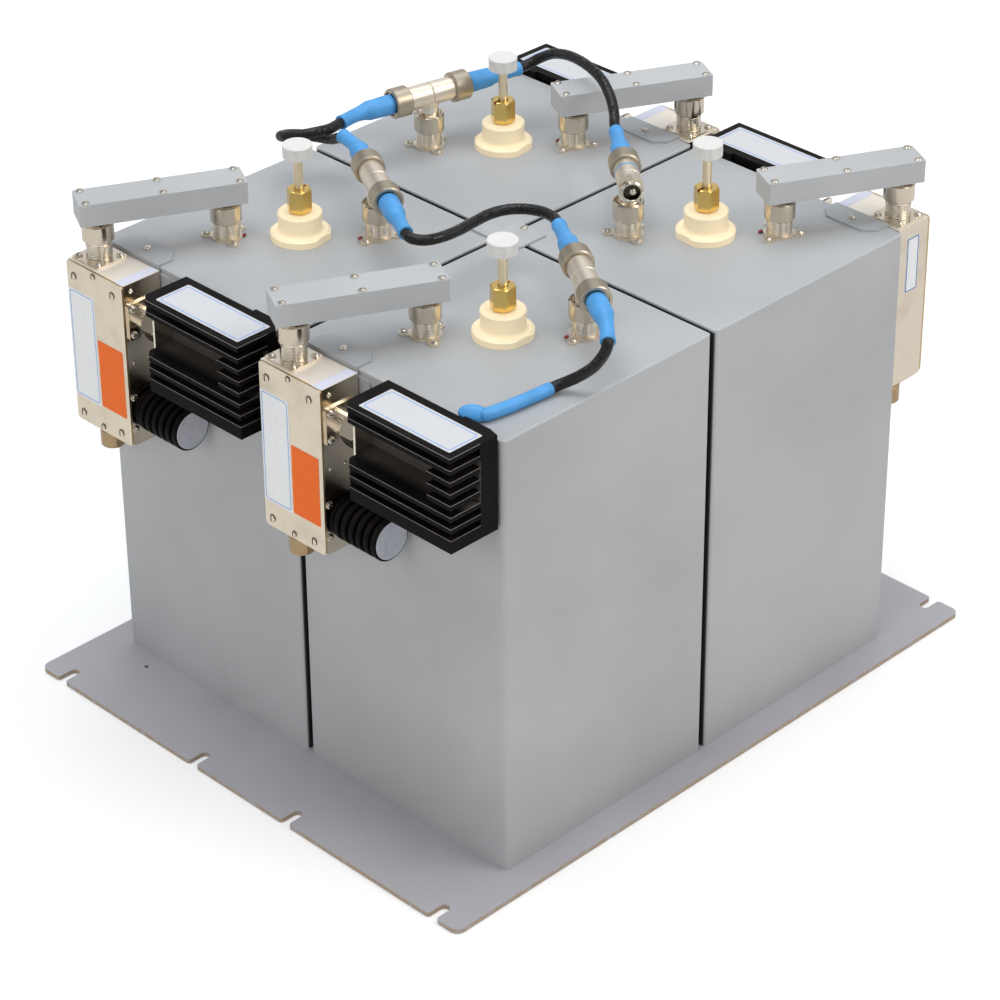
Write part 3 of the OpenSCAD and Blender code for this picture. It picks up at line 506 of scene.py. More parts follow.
@dataclass(frozen=True)
class CavityPaint(SprayedPaint):
    """Paint of the cavity housings, rubbed pale along lid and corner edges."""

    pitch: float = PITCH * MM
    half: float = CAVITY_W / 2 * MM
    top: float = LID_Z * MM
    rub: tuple[float, float] = (1.1 * MM, 2.6 * MM)

    def rubbed(self, recipe: Recipe, x: Wire, y: Wire, z: Wire) -> Wire:
        """Edge share from the two nearest of three faces.

        Args:
            recipe: the material's node tree.
            x: place along X in metres.
            y: place along Y in metres.
            z: height in metres.

        Returns:
            The share, ragged along its border.
        """
        side = self.half - abs(abs(x) - self.pitch)
        face = self.half - abs(abs(y) - self.pitch)
        down = self.top - z
        near = (side + face).least(face + down).least(side + down)
        ragged = near + 1.2 * MM * recipe.noise(recipe.place(), 340.0, 3.0)
        return 1 - ragged.rise(*self.rub)

    def grimed(self, x: Wire, y: Wire, z: Wire) -> Wire:
        """Painted shade on the walls inside the narrow gaps between the cavities.

        Args:
            x: place along X in metres.
            y: place along Y in metres.
            z: height in metres.

        Returns:
            The share of painted shade.
        """
        # Painted shade: the gap walls are darkened to near black below the lid's edge
        gap = 1 - abs(x).least(abs(y)).rise(2.0 * MM, 2.8 * MM)
        deep = 1 - z.rise(self.top - 2.6 * MM, self.top - 1.0 * MM)
        return gap * deep * 0.96


@dataclass(frozen=True)
class PlatePaint(SprayedPaint):
    """Paint of the base plate, whose cut edges show primer and steel."""

    edge: Colour = (0.42, 0.33, 0.24, 1.0)

    def mix(self, recipe: Recipe) -> None:
        """Fill the recipe's shader, then tint the cut edges.

        Args:
            recipe: the material's node tree.
        """
        super().mix(recipe)
        _, _, up = recipe.facing()
        side = 1 - abs(up).rise(0.3, 0.7)
        recipe.tint(side * recipe.noise(recipe.place(), 180.0, 3.0).rise(0.25, 0.55), self.edge)


@dataclass(frozen=True)
class PlatedMetal(Finish):
    """Plated or bare metal with streaks of its working and a little tarnish."""

    tarnish: Colour = (0.33, 0.27, 0.2, 1.0)
    roughness: float = 0.2
    dulled: float = 0.25
    grain: Point = (1.0, 1.0, 1.0)
    relief: float = 0.02 * MM

    def mix(self, recipe: Recipe) -> None:
        """Fill the recipe's shader.

        Args:
            recipe: the material's node tree.
        """
        place = recipe.place()
        cloud = recipe.noise(place, 60.0, 4.0)
        streak = recipe.noise(recipe.stretch(place, self.grain), 900.0, 2.0)
        spots = recipe.noise(place, 420.0, 3.0).rise(0.6, 0.78)
        share = cloud.rise(0.42, 0.85) * self.dulled + spots * 0.1
        rough = self.roughness + 0.14 * cloud + 0.1 * (streak - 0.5)
        recipe.feed(
            base_color=recipe.blend(share, self.colour, self.tarnish), metallic=1.0, roughness=rough
        )
        recipe.bump(streak, self.relief, 0.4)


@dataclass(frozen=True)
class CouplingPlate(PlatedMetal):
    """Plate of the coupling nuts: polished when upright, satin on the tees' runs."""

    run_bottom: float = (RUN_Z - 10.6) * MM
    dull: float = 0.5
    satin: Colour = (0.36, 0.31, 0.24, 1.0)

    def mix(self, recipe: Recipe) -> None:
        """Fill the recipe's shader, duller above the level of the runs.

        Args:
            recipe: the material's node tree.
        """
        super().mix(recipe)
        _, _, z = recipe.split(recipe.place())
        run = z.rise(self.run_bottom, self.run_bottom + 0.4 * MM)
        recipe.roughen(run * 0.2)
        recipe.tint(run * self.dull, self.satin)


@dataclass(frozen=True)
class ShellPlate(PlatedMetal):
    """Plate of the isolators' shells, paler and duller on the sanded top."""

    top: float = (ISOLATOR_TOP_Z - 0.1) * MM
    sanded: Colour = (0.92, 0.85, 0.76, 1.0)

    def mix(self, recipe: Recipe) -> None:
        """Fill the recipe's shader, then dull the top face.

        Args:
            recipe: the material's node tree.
        """
        super().mix(recipe)
        _, _, z = recipe.split(recipe.place())
        lid = z.rise(self.top - 0.2 * MM, self.top)
        recipe.roughen(lid * 0.3)
        recipe.tint(lid * 0.9, self.sanded)
        recipe.feed(metallic=1 - lid * 0.6)


@dataclass(frozen=True)
class CapPlate(PlatedMetal):
    """Plate of the elbow's cap, with painted shade inside its bore."""

    axis: Point = ELBOW
    turn: float = ELBOW_TURN
    bore: float = 5.35 * MM
    soot: Colour = (0.03, 0.022, 0.012, 1.0)

    def mix(self, recipe: Recipe) -> None:
        """Fill the recipe's shader, with painted shade within the bore.

        Args:
            recipe: the material's node tree.
        """
        super().mix(recipe)
        x, y, z = recipe.split(recipe.place())
        turn = math.radians(self.turn)
        middle_x, middle_y, level = (part * MM for part in self.axis)
        side = (y - middle_y) * math.cos(turn) - (x - middle_x) * math.sin(turn)
        rise = z - level
        reach = (side * side + rise * rise).root()
        # Painted shade: the bore is darkened to near black
        recipe.tint((1 - reach.rise(self.bore, self.bore + 0.2 * MM)) * 0.93, self.soot)


@dataclass(frozen=True)
class JackPlate(PlatedMetal):
    """Plate of the lid jacks, polished barrels on duller flanges."""

    flange: float = (LID_Z + 2.7) * MM

    def mix(self, recipe: Recipe) -> None:
        """Fill the recipe's shader, rougher at the level of the flanges.

        Args:
            recipe: the material's node tree.
        """
        super().mix(recipe)
        _, _, z = recipe.split(recipe.place())
        recipe.roughen((1 - z.rise(self.flange, self.flange + 0.6 * MM)) * 0.32)


@dataclass(frozen=True)
class CoverPlate(PlatedMetal):
    """Plate of the isolators' covers, brassy at the sheared edge."""

    face: float = (PITCH - FRONT_X - 0.15) * MM
    brassy: Colour = (0.5, 0.34, 0.14, 1.0)

    def mix(self, recipe: Recipe) -> None:
        """Fill the recipe's shader, then tint the sheared edges.

        Args:
            recipe: the material's node tree.
        """
        super().mix(recipe)
        x, _, _ = recipe.split(recipe.place())
        recipe.tint((1 - abs(x).rise(self.face, self.face + 0.08 * MM)) * 0.8, self.brassy)


@dataclass(frozen=True)
class ScrewPlate(PlatedMetal):
    """Plate of the screws; the ones on the isolators' covers are worn and dark at the rim."""

    face: float = (PITCH - FRONT_X - 0.6) * MM
    worn: Colour = (0.76, 0.66, 0.52, 1.0)
    rim: Colour = (0.03, 0.022, 0.014, 1.0)

    def mix(self, recipe: Recipe) -> None:
        """Fill the recipe's shader, then darken the cover screws and their rims.

        Args:
            recipe: the material's node tree.
        """
        super().mix(recipe)
        x, _, _ = recipe.split(recipe.place())
        on_cover = abs(x).rise(self.face, self.face + 0.2 * MM)
        across, _, _ = recipe.facing()
        side = 1 - abs(across).rise(0.45, 0.8)
        recipe.tint(on_cover, self.worn)
        recipe.tint(on_cover * side, self.rim)


@dataclass(frozen=True)
class TurnedPlastic(Finish):
    """Plastic turned on a lathe about a cavity's axis, with fine tool rings."""

    roughness: float = 0.42
    stain: Colour = (0.72, 0.58, 0.38, 1.0)
    ring_pitch: float = 0.45 * MM
    ring_height: float = 0.02 * MM
    glow: float = 0.0
    pitch: float = PITCH * MM

    def mix(self, recipe: Recipe) -> None:
        """Fill the recipe's shader.

        Args:
            recipe: the material's node tree.
        """
        place = recipe.place()
        x, y, z = recipe.split(place)
        across = abs(x) - self.pitch
        along = abs(y) - self.pitch
        radius = (across * across + along * along).root()
        rings = ((radius + z) * (2 * math.pi / self.ring_pitch)).sine()
        cloud = recipe.noise(place, 75.0, 4.0)
        grime = recipe.noise(place, 230.0, 4.0).rise(0.58, 0.8)
        share = cloud.rise(0.45, 0.8) * 0.14 + grime * 0.12
        # The emission is a painted glow of the plastic's own colour, standing in for light through
        # the plastic
        recipe.feed(
            base_color=recipe.blend(share, self.colour, self.stain),
            roughness=self.roughness + 0.14 * cloud,
            emission_color=self.colour,
            emission_strength=self.glow,
        )
        recipe.bump(rings, self.ring_height, 0.5)
        recipe.bump(recipe.noise(place, 700.0, 2.0), 0.03 * MM, 0.3)


@dataclass(frozen=True)
class BlackAnodised(Finish):
    """Black anodised aluminium with a brown sheen, painted shade on its upright faces, a paler tone
    in the fin pocket, and a painted highlight line along the fin edges.
    """

    sheen: Colour = (0.015, 0.0115, 0.011, 1.0)
    shade: Colour = (0.001, 0.001, 0.0012, 1.0)
    rubbed: Colour = (0.34, 0.31, 0.29, 1.0)
    raw: Colour = (0.11, 0.1, 0.09, 1.0)
    fin_face: float = (PITCH - SINK_X + SINK_DEPTH) * MM
    fin_root: float = (PITCH - SINK_X + SINK_BASE) * MM
    fin_ends: tuple[float, float] = ((PITCH - SINK_END_Y) * MM, (PITCH + SINK_END_Y) * MM)
    fin_top: float = SINK_Z * MM
    fin_foot: float = (SINK_Z - 61.0) * MM
    fin_pitch: float = FIN_PITCH * MM
    pocket_low: float = (SINK_Z - 5 * FIN_PITCH + 0.15) * MM
    pocket_high: float = (SINK_Z - FIN_PITCH - FIN_T - 0.15) * MM
    soft: float = 0.3 * MM

    def mix(self, recipe: Recipe) -> None:
        """Fill the recipe's shader.

        Args:
            recipe: the material's node tree.
        """
        place = recipe.place()
        cloud = recipe.noise(place, 45.0, 3.0)
        draw = recipe.noise(recipe.stretch(place, (1.0, 0.05, 1.0)), 1100.0, 2.0)
        x, y, z = recipe.split(place)
        _, _, up = recipe.facing()
        upright = 1 - abs(up).rise(0.3, 0.7)
        # The pocket's back wall and floor are given a paler brown tone than the rest
        worn = self._wall(x, z).most(self._bed(x, z) * (1 - upright))
        tone = recipe.blend(cloud.rise(0.3, 0.75), self.colour, self.sheen)
        # Painted shade: upright faces are darkened towards near black
        tone = recipe.blend(upright * 0.6, tone, self.shade)
        tone = recipe.blend(worn * (0.6 + 0.4 * cloud), tone, self.raw)
        # Painted highlight: a pale line along the top edge of each fin
        line = self._line(x, y, z, recipe.noise(place, 500.0, 3.0))
        recipe.feed(
            base_color=recipe.blend(line, tone, self.rubbed),
            roughness=0.4 + 0.16 * cloud + 0.1 * draw,
            specular_ior_level=0.07,
        )
        recipe.bump(draw, 0.03 * MM, 0.5)

    def _line(self, x: Wire, y: Wire, z: Wire, ragged: Wire) -> Wire:
        """Painted highlight: a thin pale line along the fins' outer edges.

        Args:
            x: place along X in metres.
            y: place along Y in metres.
            z: height in metres.
            ragged: noise that frays the line's border.

        Returns:
            The line's share.
        """
        down = ((self.fin_top - z) * (1 / self.fin_pitch)).part() * self.fin_pitch
        side = (self.fin_face - abs(x)).most(0.0)
        far, near = self.fin_ends
        end = abs(abs(y) - far).least(abs(abs(y) - near)) + (self.fin_root - abs(x)).most(0.0)
        edge = down.least(self.fin_pitch - down) + side.least(end) + 0.2 * MM * ragged
        above = z.rise(self.fin_foot, self.fin_foot + self.soft)
        return (1 - edge.rise(0.2 * MM, 0.45 * MM)) * above * 0.8

    def _wall(self, x: Wire, z: Wire) -> Wire:
        """The pocket's back wall, where the metal is less black.

        Args:
            x: place along X in metres.
            z: height in metres.

        Returns:
            The wall's share.
        """
        wall = 1 - abs(abs(x) - self.fin_root).rise(0.1 * MM, self.soft)
        above = z.rise(self.pocket_low, self.pocket_low + self.soft)
        return wall * above * (1 - z.rise(self.pocket_high - self.soft, self.pocket_high))

    def _bed(self, x: Wire, z: Wire) -> Wire:
        """The pocket's floor, less black towards the wall."""
        floor = 1 - abs(z - self.pocket_low + 0.15 * MM).rise(0.2 * MM, 0.4 * MM)
        return floor * (1 - abs(x).rise(self.fin_root + 6 * MM, self.fin_root + 17 * MM))


@dataclass(frozen=True)
class Shrunk(Finish):
    """Shrunk sleeve or moulded rubber, slightly wrinkled and glossy."""

    roughness: float = 0.36
    wrinkle: float = 0.25 * MM
    fade: float = 1.18

    def mix(self, recipe: Recipe) -> None:
        """Fill the recipe's shader.

        Args:
            recipe: the material's node tree.
        """
        place = recipe.place()
        cloud = recipe.noise(place, 90.0, 3.0)
        fold = recipe.noise(place, 210.0, 3.0)
        grit = recipe.noise(place, 1500.0, 1.0)
        faded = shaded(self.colour, self.fade, 0.01)
        recipe.feed(
            base_color=recipe.blend(cloud.rise(0.35, 0.75), self.colour, faded),
            roughness=self.roughness + 0.16 * cloud + 0.06 * grit,
        )
        recipe.bump(fold, self.wrinkle, 0.35)
        recipe.bump(grit, 0.02 * MM, 0.3)


@dataclass(frozen=True)
class CableJacket(Finish):
    """Black jacket of a cable, with soft wrinkles across it and scuffs along it."""

    scuffed: Colour = (0.035, 0.028, 0.024, 1.0)

    def mix(self, recipe: Recipe) -> None:
        """Fill the recipe's shader from the cable's own UV map.

        Args:
            recipe: the material's node tree.
        """
        chart = recipe.chart()
        along = recipe.noise(recipe.stretch(chart, (1.0, 6.0, 1.0)), 260.0, 2.0)
        scuff = recipe.noise(recipe.stretch(chart, (1.0, 0.25, 1.0)), 420.0, 3.0)
        crease = recipe.noise(recipe.stretch(chart, (1.0, 0.3, 1.0)), 480.0, 1.0).rise(0.5, 0.75)
        patch = recipe.noise(chart, 55.0, 2.0).rise(0.42, 0.56)
        recipe.feed(
            base_color=recipe.blend(scuff.rise(0.5, 0.85) * 0.5, self.colour, self.scuffed),
            roughness=0.37 - 0.25 * patch + 0.1 * scuff,
            specular_ior_level=0.4,
        )
        recipe.bump(crease * patch, 1.4 * MM, 0.9)
        recipe.bump(along, 0.3 * MM, 0.45)


@dataclass(frozen=True)
class PrintedField(Finish):
    """Plain label: one field of colour, with a rounded line inside its edge."""

    size: tuple[float, float] = (50.0 * MM, 20.0 * MM)
    line: Colour | None = None
    line_inset: float = 1.2 * MM
    line_width: float = 0.5 * MM
    line_radius: float = 2.0 * MM
    sleek: float = 0.3

    def mix(self, recipe: Recipe) -> None:
        """Fill the recipe's shader from the label's own UV map.

        Args:
            recipe: the material's node tree.
        """
        u, v, _ = recipe.split(recipe.chart())
        place = recipe.place()
        paper = recipe.noise(place, 350.0, 3.0)
        worn = shaded(self.colour, 0.9)
        colour = recipe.blend(paper.rise(0.45, 0.8) * 0.6, self.colour, worn)
        if self.line:
            width, height = self.size
            inset = self.line_inset + self.line_radius
            over = (abs((u - 0.5) * width) - (width / 2 - inset)).most(0.0)
            beyond = (abs((v - 0.5) * height) - (height / 2 - inset)).most(0.0)
            reach = (over * over + beyond * beyond).root()
            off = abs(reach - self.line_radius)
            stroke = 1 - off.rise(self.line_width * 0.4, self.line_width * 0.65)
            colour = recipe.blend(stroke, colour, self.line)
        recipe.feed(base_color=colour, roughness=self.sleek + 0.12 * paper, specular_ior_level=0.25)
        recipe.bump(recipe.noise(place, 160.0, 3.0), 0.08 * MM, 0.25)


@dataclass(frozen=True)
class PrintedDisc(Finish):
    """Round plain label, slightly dulled in clouds."""

    def mix(self, recipe: Recipe) -> None:
        """Fill the recipe's shader.

        Args:
            recipe: the material's node tree.
        """
        place = recipe.place()
        paper = recipe.noise(place, 300.0, 3.0)
        worn = shaded(self.colour, 0.86)
        recipe.feed(
            base_color=recipe.blend(paper.rise(0.4, 0.75), self.colour, worn),
            roughness=0.3 + 0.15 * paper,
        )
        recipe.bump(recipe.noise(place, 200.0, 3.0), 0.06 * MM, 0.3)


@dataclass(frozen=True)
class Lacquer(Finish):
    """Sealing lacquer dabbed on a fastener."""

    def mix(self, recipe: Recipe) -> None:
        """Fill the recipe's shader.

        Args:
            recipe: the material's node tree.
        """
        place = recipe.place()
        cloud = recipe.noise(place, 500.0, 3.0)
        tone = recipe.blend(cloud.rise(0.35, 0.7), self.colour, shaded(self.colour, 0.4))
        recipe.feed(base_color=tone, roughness=0.2 + 0.2 * cloud)
        recipe.bump(cloud, 0.2 * MM, 0.5)


# The combiner's finishes
PLATE = PlatePaint("shelf_enamel", paint(179, 177, 183), roughness=0.46)
CAVITY = CavityPaint("cavity_enamel", paint(178, 180, 182))
# The bars carry the cavities' grey enamel; this copy is paler as painted light, for the light the
# bars get less of
LIT_BAR_ENAMEL = SprayedPaint("lit_bar_enamel", paint(186, 188, 190), roughness=0.38)
BRACKET = SprayedPaint("bracket_enamel", paint(172, 175, 178), roughness=0.42)
SHELL = ShellPlate("nickel_shell", (0.74, 0.65, 0.53, 1.0), roughness=0.12, grain=(0.1, 0.1, 1.0))
COVER = CoverPlate("nickel_cover", (0.83, 0.73, 0.58, 1.0), roughness=0.3, grain=(1.0, 1.0, 0.06))
TURNED = PlatedMetal(
    "turned_nickel", (0.84, 0.76, 0.64, 1.0), roughness=0.1, dulled=0.15, grain=(1.0, 1.0, 0.2),
    relief=0.008 * MM,
)
JACK = JackPlate(
    "jack_nickel", TURNED.colour, roughness=0.1, dulled=0.15, grain=(1.0, 1.0, 0.2),
    relief=0.008 * MM,
)
CAP = CapPlate("cap_nickel", (0.8, 0.73, 0.6, 1.0), roughness=0.12, dulled=0.1, relief=0.008 * MM)
TEE = CouplingPlate(
    "nickel_tee", (0.96, 0.86, 0.73, 1.0), roughness=0.12, dulled=0.1, grain=(1.0, 1.0, 0.2),
    relief=0.008 * MM, run_bottom=(RUN_Z - 8.7) * MM, dull=0.04,
)
COUPLING = CouplingPlate(
    "nickel_coupling", (0.68, 0.6, 0.48, 1.0), roughness=0.12, grain=(1.0, 1.0, 0.2)
)
SCREW = ScrewPlate("screw_nickel", (0.8, 0.75, 0.67, 1.0), roughness=0.15, dulled=0.35)
BRASS = PlatedMetal(
    "machined_brass", (0.85, 0.6, 0.19, 1.0), tarnish=(0.5, 0.28, 0.08, 1.0), roughness=0.16,
    grain=(1.0, 1.0, 0.15), relief=0.002 * MM,
)
ROD = PlatedMetal(
    "rod_brass", (1.0, 0.86, 0.6, 1.0), tarnish=(0.7, 0.5, 0.28, 1.0), roughness=0.3, dulled=0.1,
    grain=(1.0, 1.0, 0.1),
)
PORT = PlatedMetal(
    "port_brass", (0.42, 0.3, 0.17, 1.0), tarnish=(0.2, 0.11, 0.05, 1.0), roughness=0.08, dulled=0.3
)
COPPER = PlatedMetal(
    "silvered_copper", (0.78, 0.62, 0.52, 1.0), tarnish=(0.45, 0.25, 0.15, 1.0), roughness=0.25
)
# The ivory carries a painted glow, standing in for light through the plastic
IVORY = TurnedPlastic(
    "turned_ivory", paint(255, 237, 200), stain=(0.88, 0.7, 0.45, 1.0), glow=0.13
)
WHITE = TurnedPlastic(
    "milky_plastic", paint(228, 227, 224), roughness=0.25, stain=(0.6, 0.6, 0.58, 1.0)
)
BLACK = BlackAnodised("anodised_black", (0.006, 0.005, 0.0052, 1.0))
BLUE = Shrunk("blue_sleeve", paint(76, 155, 218))
JACKET = CableJacket("black_jacket", (0.006, 0.005, 0.0048, 1.0))
RED = Lacquer("red_lacquer", paint(150, 22, 14))
LABEL_BLUE = paint(150, 178, 226)
LABEL_WHITE = PrintedField(
    "label_white", paint(238, 240, 242), size=(25.2 * MM, 78.0 * MM), line=LABEL_BLUE,
    line_inset=1.5 * MM, line_width=0.8 * MM,
)
LABEL_NARROW = PrintedField(
    "label_narrow", paint(238, 240, 242), size=(11.6 * MM, 39.3 * MM), line=paint(58, 108, 178),
    line_inset=0.6 * MM, line_width=0.8 * MM, line_radius=0.8 * MM,
)
LABEL_ORANGE = PrintedField("label_orange", paint(243, 108, 8), size=(24.2 * MM, 48.0 * MM))
LABEL_STRIP = PrintedField("label_strip", paint(214, 217, 232), size=(29.0 * MM, 7.5 * MM))
LABEL_LOAD = PrintedField(
    "label_load", paint(212, 213, 216), size=(26.5 * MM, 75.5 * MM), line=LABEL_BLUE,
    line_inset=2.0 * MM, line_width=0.9 * MM,
)
LABEL_DISC = PrintedDisc("label_disc", paint(198, 200, 210))


class Bench:
    """Modelling steps that the new pieces share."""

    @staticmethod
    def clear() -> None:
        """Go to object mode with nothing selected."""
        if bpy.context.object and bpy.context.object.mode != "OBJECT":
            bpy.ops.object.mode_set(mode="OBJECT")
        bpy.ops.object.select_all(action="DESELECT")

    @staticmethod
    def pick(piece: bpy.types.Object) -> None:
        """Make one piece the only selected and active one.

        Args:
            piece: the piece.
        """
        Bench.clear()
        piece.select_set(True)
        bpy.context.view_layer.objects.active = piece

    @staticmethod
    def turn(
        name: str, profile: Sequence[tuple[float, float]], steps: int = 40
    ) -> bpy.types.Object:
        """Turn a piece about +Z by extruding and resizing a disc from station to station.

        Args:
            name: the piece's name.
            profile: (radius, height) stations from the bottom up.
            steps: sides of the disc.

        Returns:
            A closed piece on the Z axis.
        """
        Bench.clear()
        bpy.ops.mesh.primitive_circle_add(vertices=steps, radius=profile[0][0], fill_type="NGON")
        piece = bpy.context.object
        piece.name = name
        bpy.ops.object.mode_set(mode="EDIT")
        bpy.ops.mesh.select_all(action="SELECT")
        bpy.ops.transform.translate(value=(0, 0, profile[0][1]))
        for (radius, height), (radius_next, height_next) in zip(profile, profile[1:]):
            bpy.ops.mesh.extrude_region_move(
                TRANSFORM_OT_translate={"value": (0, 0, height_next - height)}
            )
            size = radius_next / radius
            bpy.ops.transform.resize(value=(size, size, 1), center_override=(0, 0, height_next))
        bpy.ops.mesh.select_all(action="SELECT")
        bpy.ops.mesh.normals_make_consistent(inside=False)
        bpy.ops.object.mode_set(mode="OBJECT")
        bpy.ops.object.shade_smooth_by_angle(angle=math.radians(32))
        return piece

    @staticmethod
    def seat(piece: bpy.types.Object, matrix: Matrix) -> bpy.types.Object:
        """Move a piece to its place and leave the place in its mesh.

        Args:
            piece: a piece modelled at the origin.
            matrix: its placement in the model.

        Returns:
            The same piece.
        """
        Bench.pick(piece)
        piece.matrix_world = matrix
        bpy.ops.object.transform_apply(location=True, rotation=True, scale=True)
        return piece

    @staticmethod
    def copy(piece: bpy.types.Object, name: str, matrix: Matrix) -> bpy.types.Object:
        """Copy a piece with its own mesh and seat the copy.

        Args:
            piece: the pattern.
            name: the copy's name.
            matrix: the copy's placement.

        Returns:
            The copy.
        """
        Bench.pick(piece)
        bpy.ops.object.duplicate(linked=False)
        made = bpy.context.object
        made.name = name
        return Bench.seat(made, matrix)

    @staticmethod
    def drop(piece: bpy.types.Object) -> None:
        """Delete a pattern that its copies have taken the place of."""
        Bench.pick(piece)
        bpy.ops.object.delete()

    @staticmethod
    def dress(piece: bpy.types.Object, finish: Finish) -> None:
        """Give a piece one finish all over."""
        piece.data.materials.clear()
        piece.data.materials.append(finish.material())

    @staticmethod
    def coat(node: str, finish: Finish) -> None:
        """Give a CAD node one finish all over."""
        Bench.dress(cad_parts[node], finish)
        LOG.info("coated %s with %s", node, finish.name)

    @staticmethod
    def dab(name: str, radius: float, stretch: Point, rough: float, seed: int) -> bpy.types.Object:
        """Shape a drop of lacquer at the origin.

        Args:
            name: the drop's name.
            radius: the ball's radius before it is stretched.
            stretch: factors along X, Y and Z.
            rough: how far its points are moved at random.
            seed: seed of those moves.

        Returns:
            The drop.
        """
        Bench.clear()
        bpy.ops.mesh.primitive_ico_sphere_add(subdivisions=3, radius=radius)
        drop = bpy.context.object
        drop.name = name
        bpy.ops.object.mode_set(mode="EDIT")
        bpy.ops.mesh.select_all(action="SELECT")
        bpy.ops.transform.resize(value=stretch)
        bpy.ops.transform.vertex_random(offset=rough, seed=seed)
        bpy.ops.object.mode_set(mode="OBJECT")
        bpy.ops.object.shade_smooth()
        return drop

    @staticmethod
    def tube(
        name: str, route: list[Vector], radii: list[float], sides: int = 20
    ) -> bpy.types.Object:
        """Draw a path with a round section of changing radius and make it a mesh.

        Args:
            name: the piece's name.
            route: the middle line.
            radii: radius at each point of the line.
            sides: sides of the section.

        Returns:
            A closed piece with its place in its mesh.
        """
        Bench.clear()
        bpy.ops.curve.primitive_nurbs_path_add()
        piece = bpy.context.object
        piece.name = name
        curve = piece.data
        curve.splines.clear()
        spline = curve.splines.new("POLY")
        spline.points.add(len(route) - 1)
        for point, spot, radius in zip(spline.points, route, radii):
            point.co = (*spot, 1.0)
            point.radius = radius
        curve.dimensions = "3D"
        curve.bevel_depth = 1.0
        curve.bevel_resolution = sides // 4
        curve.use_fill_caps = True
        Bench.pick(piece)
        bpy.ops.object.convert(target="MESH")
        piece = bpy.context.object
        bpy.ops.object.mode_set(mode="EDIT")
        bpy.ops.mesh.select_all(action="SELECT")
        bpy.ops.mesh.remove_doubles(threshold=1e-6)
        bpy.ops.mesh.normals_make_consistent(inside=False)
        bpy.ops.object.mode_set(mode="OBJECT")
        bpy.ops.object.shade_smooth_by_angle(angle=math.radians(40))
        return piece


def smooth_line(points: list[Vector], steps: int) -> list[Vector]:
    """Run one smooth line through points.

    Args:
        points: the points in order.
        steps: pieces between two points.

    Returns:
        Points along the line.
    """
    line = []
    for k in range(len(points) - 1):
        a, b = points[max(k - 1, 0)], points[k]
        c, d = points[k + 1], points[min(k + 2, len(points) - 1)]
        for s in range(steps):
            t = s / steps
            line.append(
                0.5 * (2 * b + (c - a) * t + (2 * a - 5 * b + 4 * c - d) * t * t
                       + (3 * b - a - 3 * c + d) * t * t * t)
            )
    line.append(points[-1])
    return line


def line_marks(line: list[Vector]) -> list[float]:
    """How far along a line each of its points is.

    Args:
        line: the line's points.

    Returns:
        The distance of each point from the start.
    """
    marks = [0.0]
    for a, b in zip(line, line[1:]):
        marks.append(marks[-1] + (b - a).length)
    return marks


def line_length(line: list[Vector]) -> float:
    """Length of a line of points."""
    return line_marks(line)[-1]


def point_along(line: list[Vector], reach: float) -> Vector:
    """Find the point at a distance along a line.

    Args:
        line: the line's points.
        reach: the distance from its start.

    Returns:
        The point, between two of the line's own.
    """
    marks = line_marks(line)
    k = max(i for i, mark in enumerate(marks) if mark <= reach + TINY)
    k = min(k, len(line) - 2)
    return line[k].lerp(line[k + 1], (reach - marks[k]) / max(marks[k + 1] - marks[k], TINY))


@dataclass
class PhotoCamera:
    """The camera that the photograph was taken with."""

    azimuth: float = -45.89
    elevation: float = 30.55
    roll: float = 0.17
    distance: float = 2.318
    aim: Point = (0.0713, 0.0175, 0.15)
    focal_px: float = 3440.3
    centre_px: tuple[float, float] = (561.3, 404.9)
    frame_px: float = 1000.0
    sensor: float = 36.0

    def build(self) -> None:
        """Make the camera and set it as the scene's own."""
        data = bpy.data.cameras.new("photo_camera")
        camera = bpy.data.objects.new("photo_camera", data)
        bpy.context.scene.collection.objects.link(camera)
        turn, rise = math.radians(self.azimuth), math.radians(self.elevation)
        level = math.cos(rise)
        back = Vector((math.sin(turn) * level, -math.cos(turn) * level, math.sin(rise)))
        camera.location = Vector(self.aim) + back * self.distance
        look = (-back).to_track_quat("-Z", "Y").to_matrix().to_4x4()
        camera.rotation_euler = (look @ turned(self.roll, "Z")).to_euler()
        data.sensor_width = self.sensor
        data.lens = self.focal_px * self.sensor / self.frame_px
        data.shift_x = 0.5 - self.centre_px[0] / self.frame_px
        data.shift_y = self.centre_px[1] / self.frame_px - 0.5
        data.clip_start, data.clip_end = 0.05, 50.0
        bpy.context.scene.camera = camera


@dataclass(frozen=True)
class Lamp:
    """A square soft lamp."""

    name: str
    spot: Point
    aim: Point
    size: float
    watts: float
    tone: Point
    mirrored: bool = True

    def hang(self) -> None:
        """Hang the lamp and turn it to its aim."""
        data = bpy.data.lights.new(self.name, "AREA")
        data.energy, data.size, data.color = self.watts, self.size, self.tone
        lamp = bpy.data.objects.new(self.name, data)
        bpy.context.scene.collection.objects.link(lamp)
        lamp.location = self.spot
        way = Vector(self.aim) - Vector(self.spot)
        lamp.rotation_euler = way.to_track_quat("-Z", "Y").to_euler()
        lamp.visible_glossy = self.mirrored


COOL = (0.94, 0.975, 1.0)
WARM = (1.0, 0.945, 0.87)


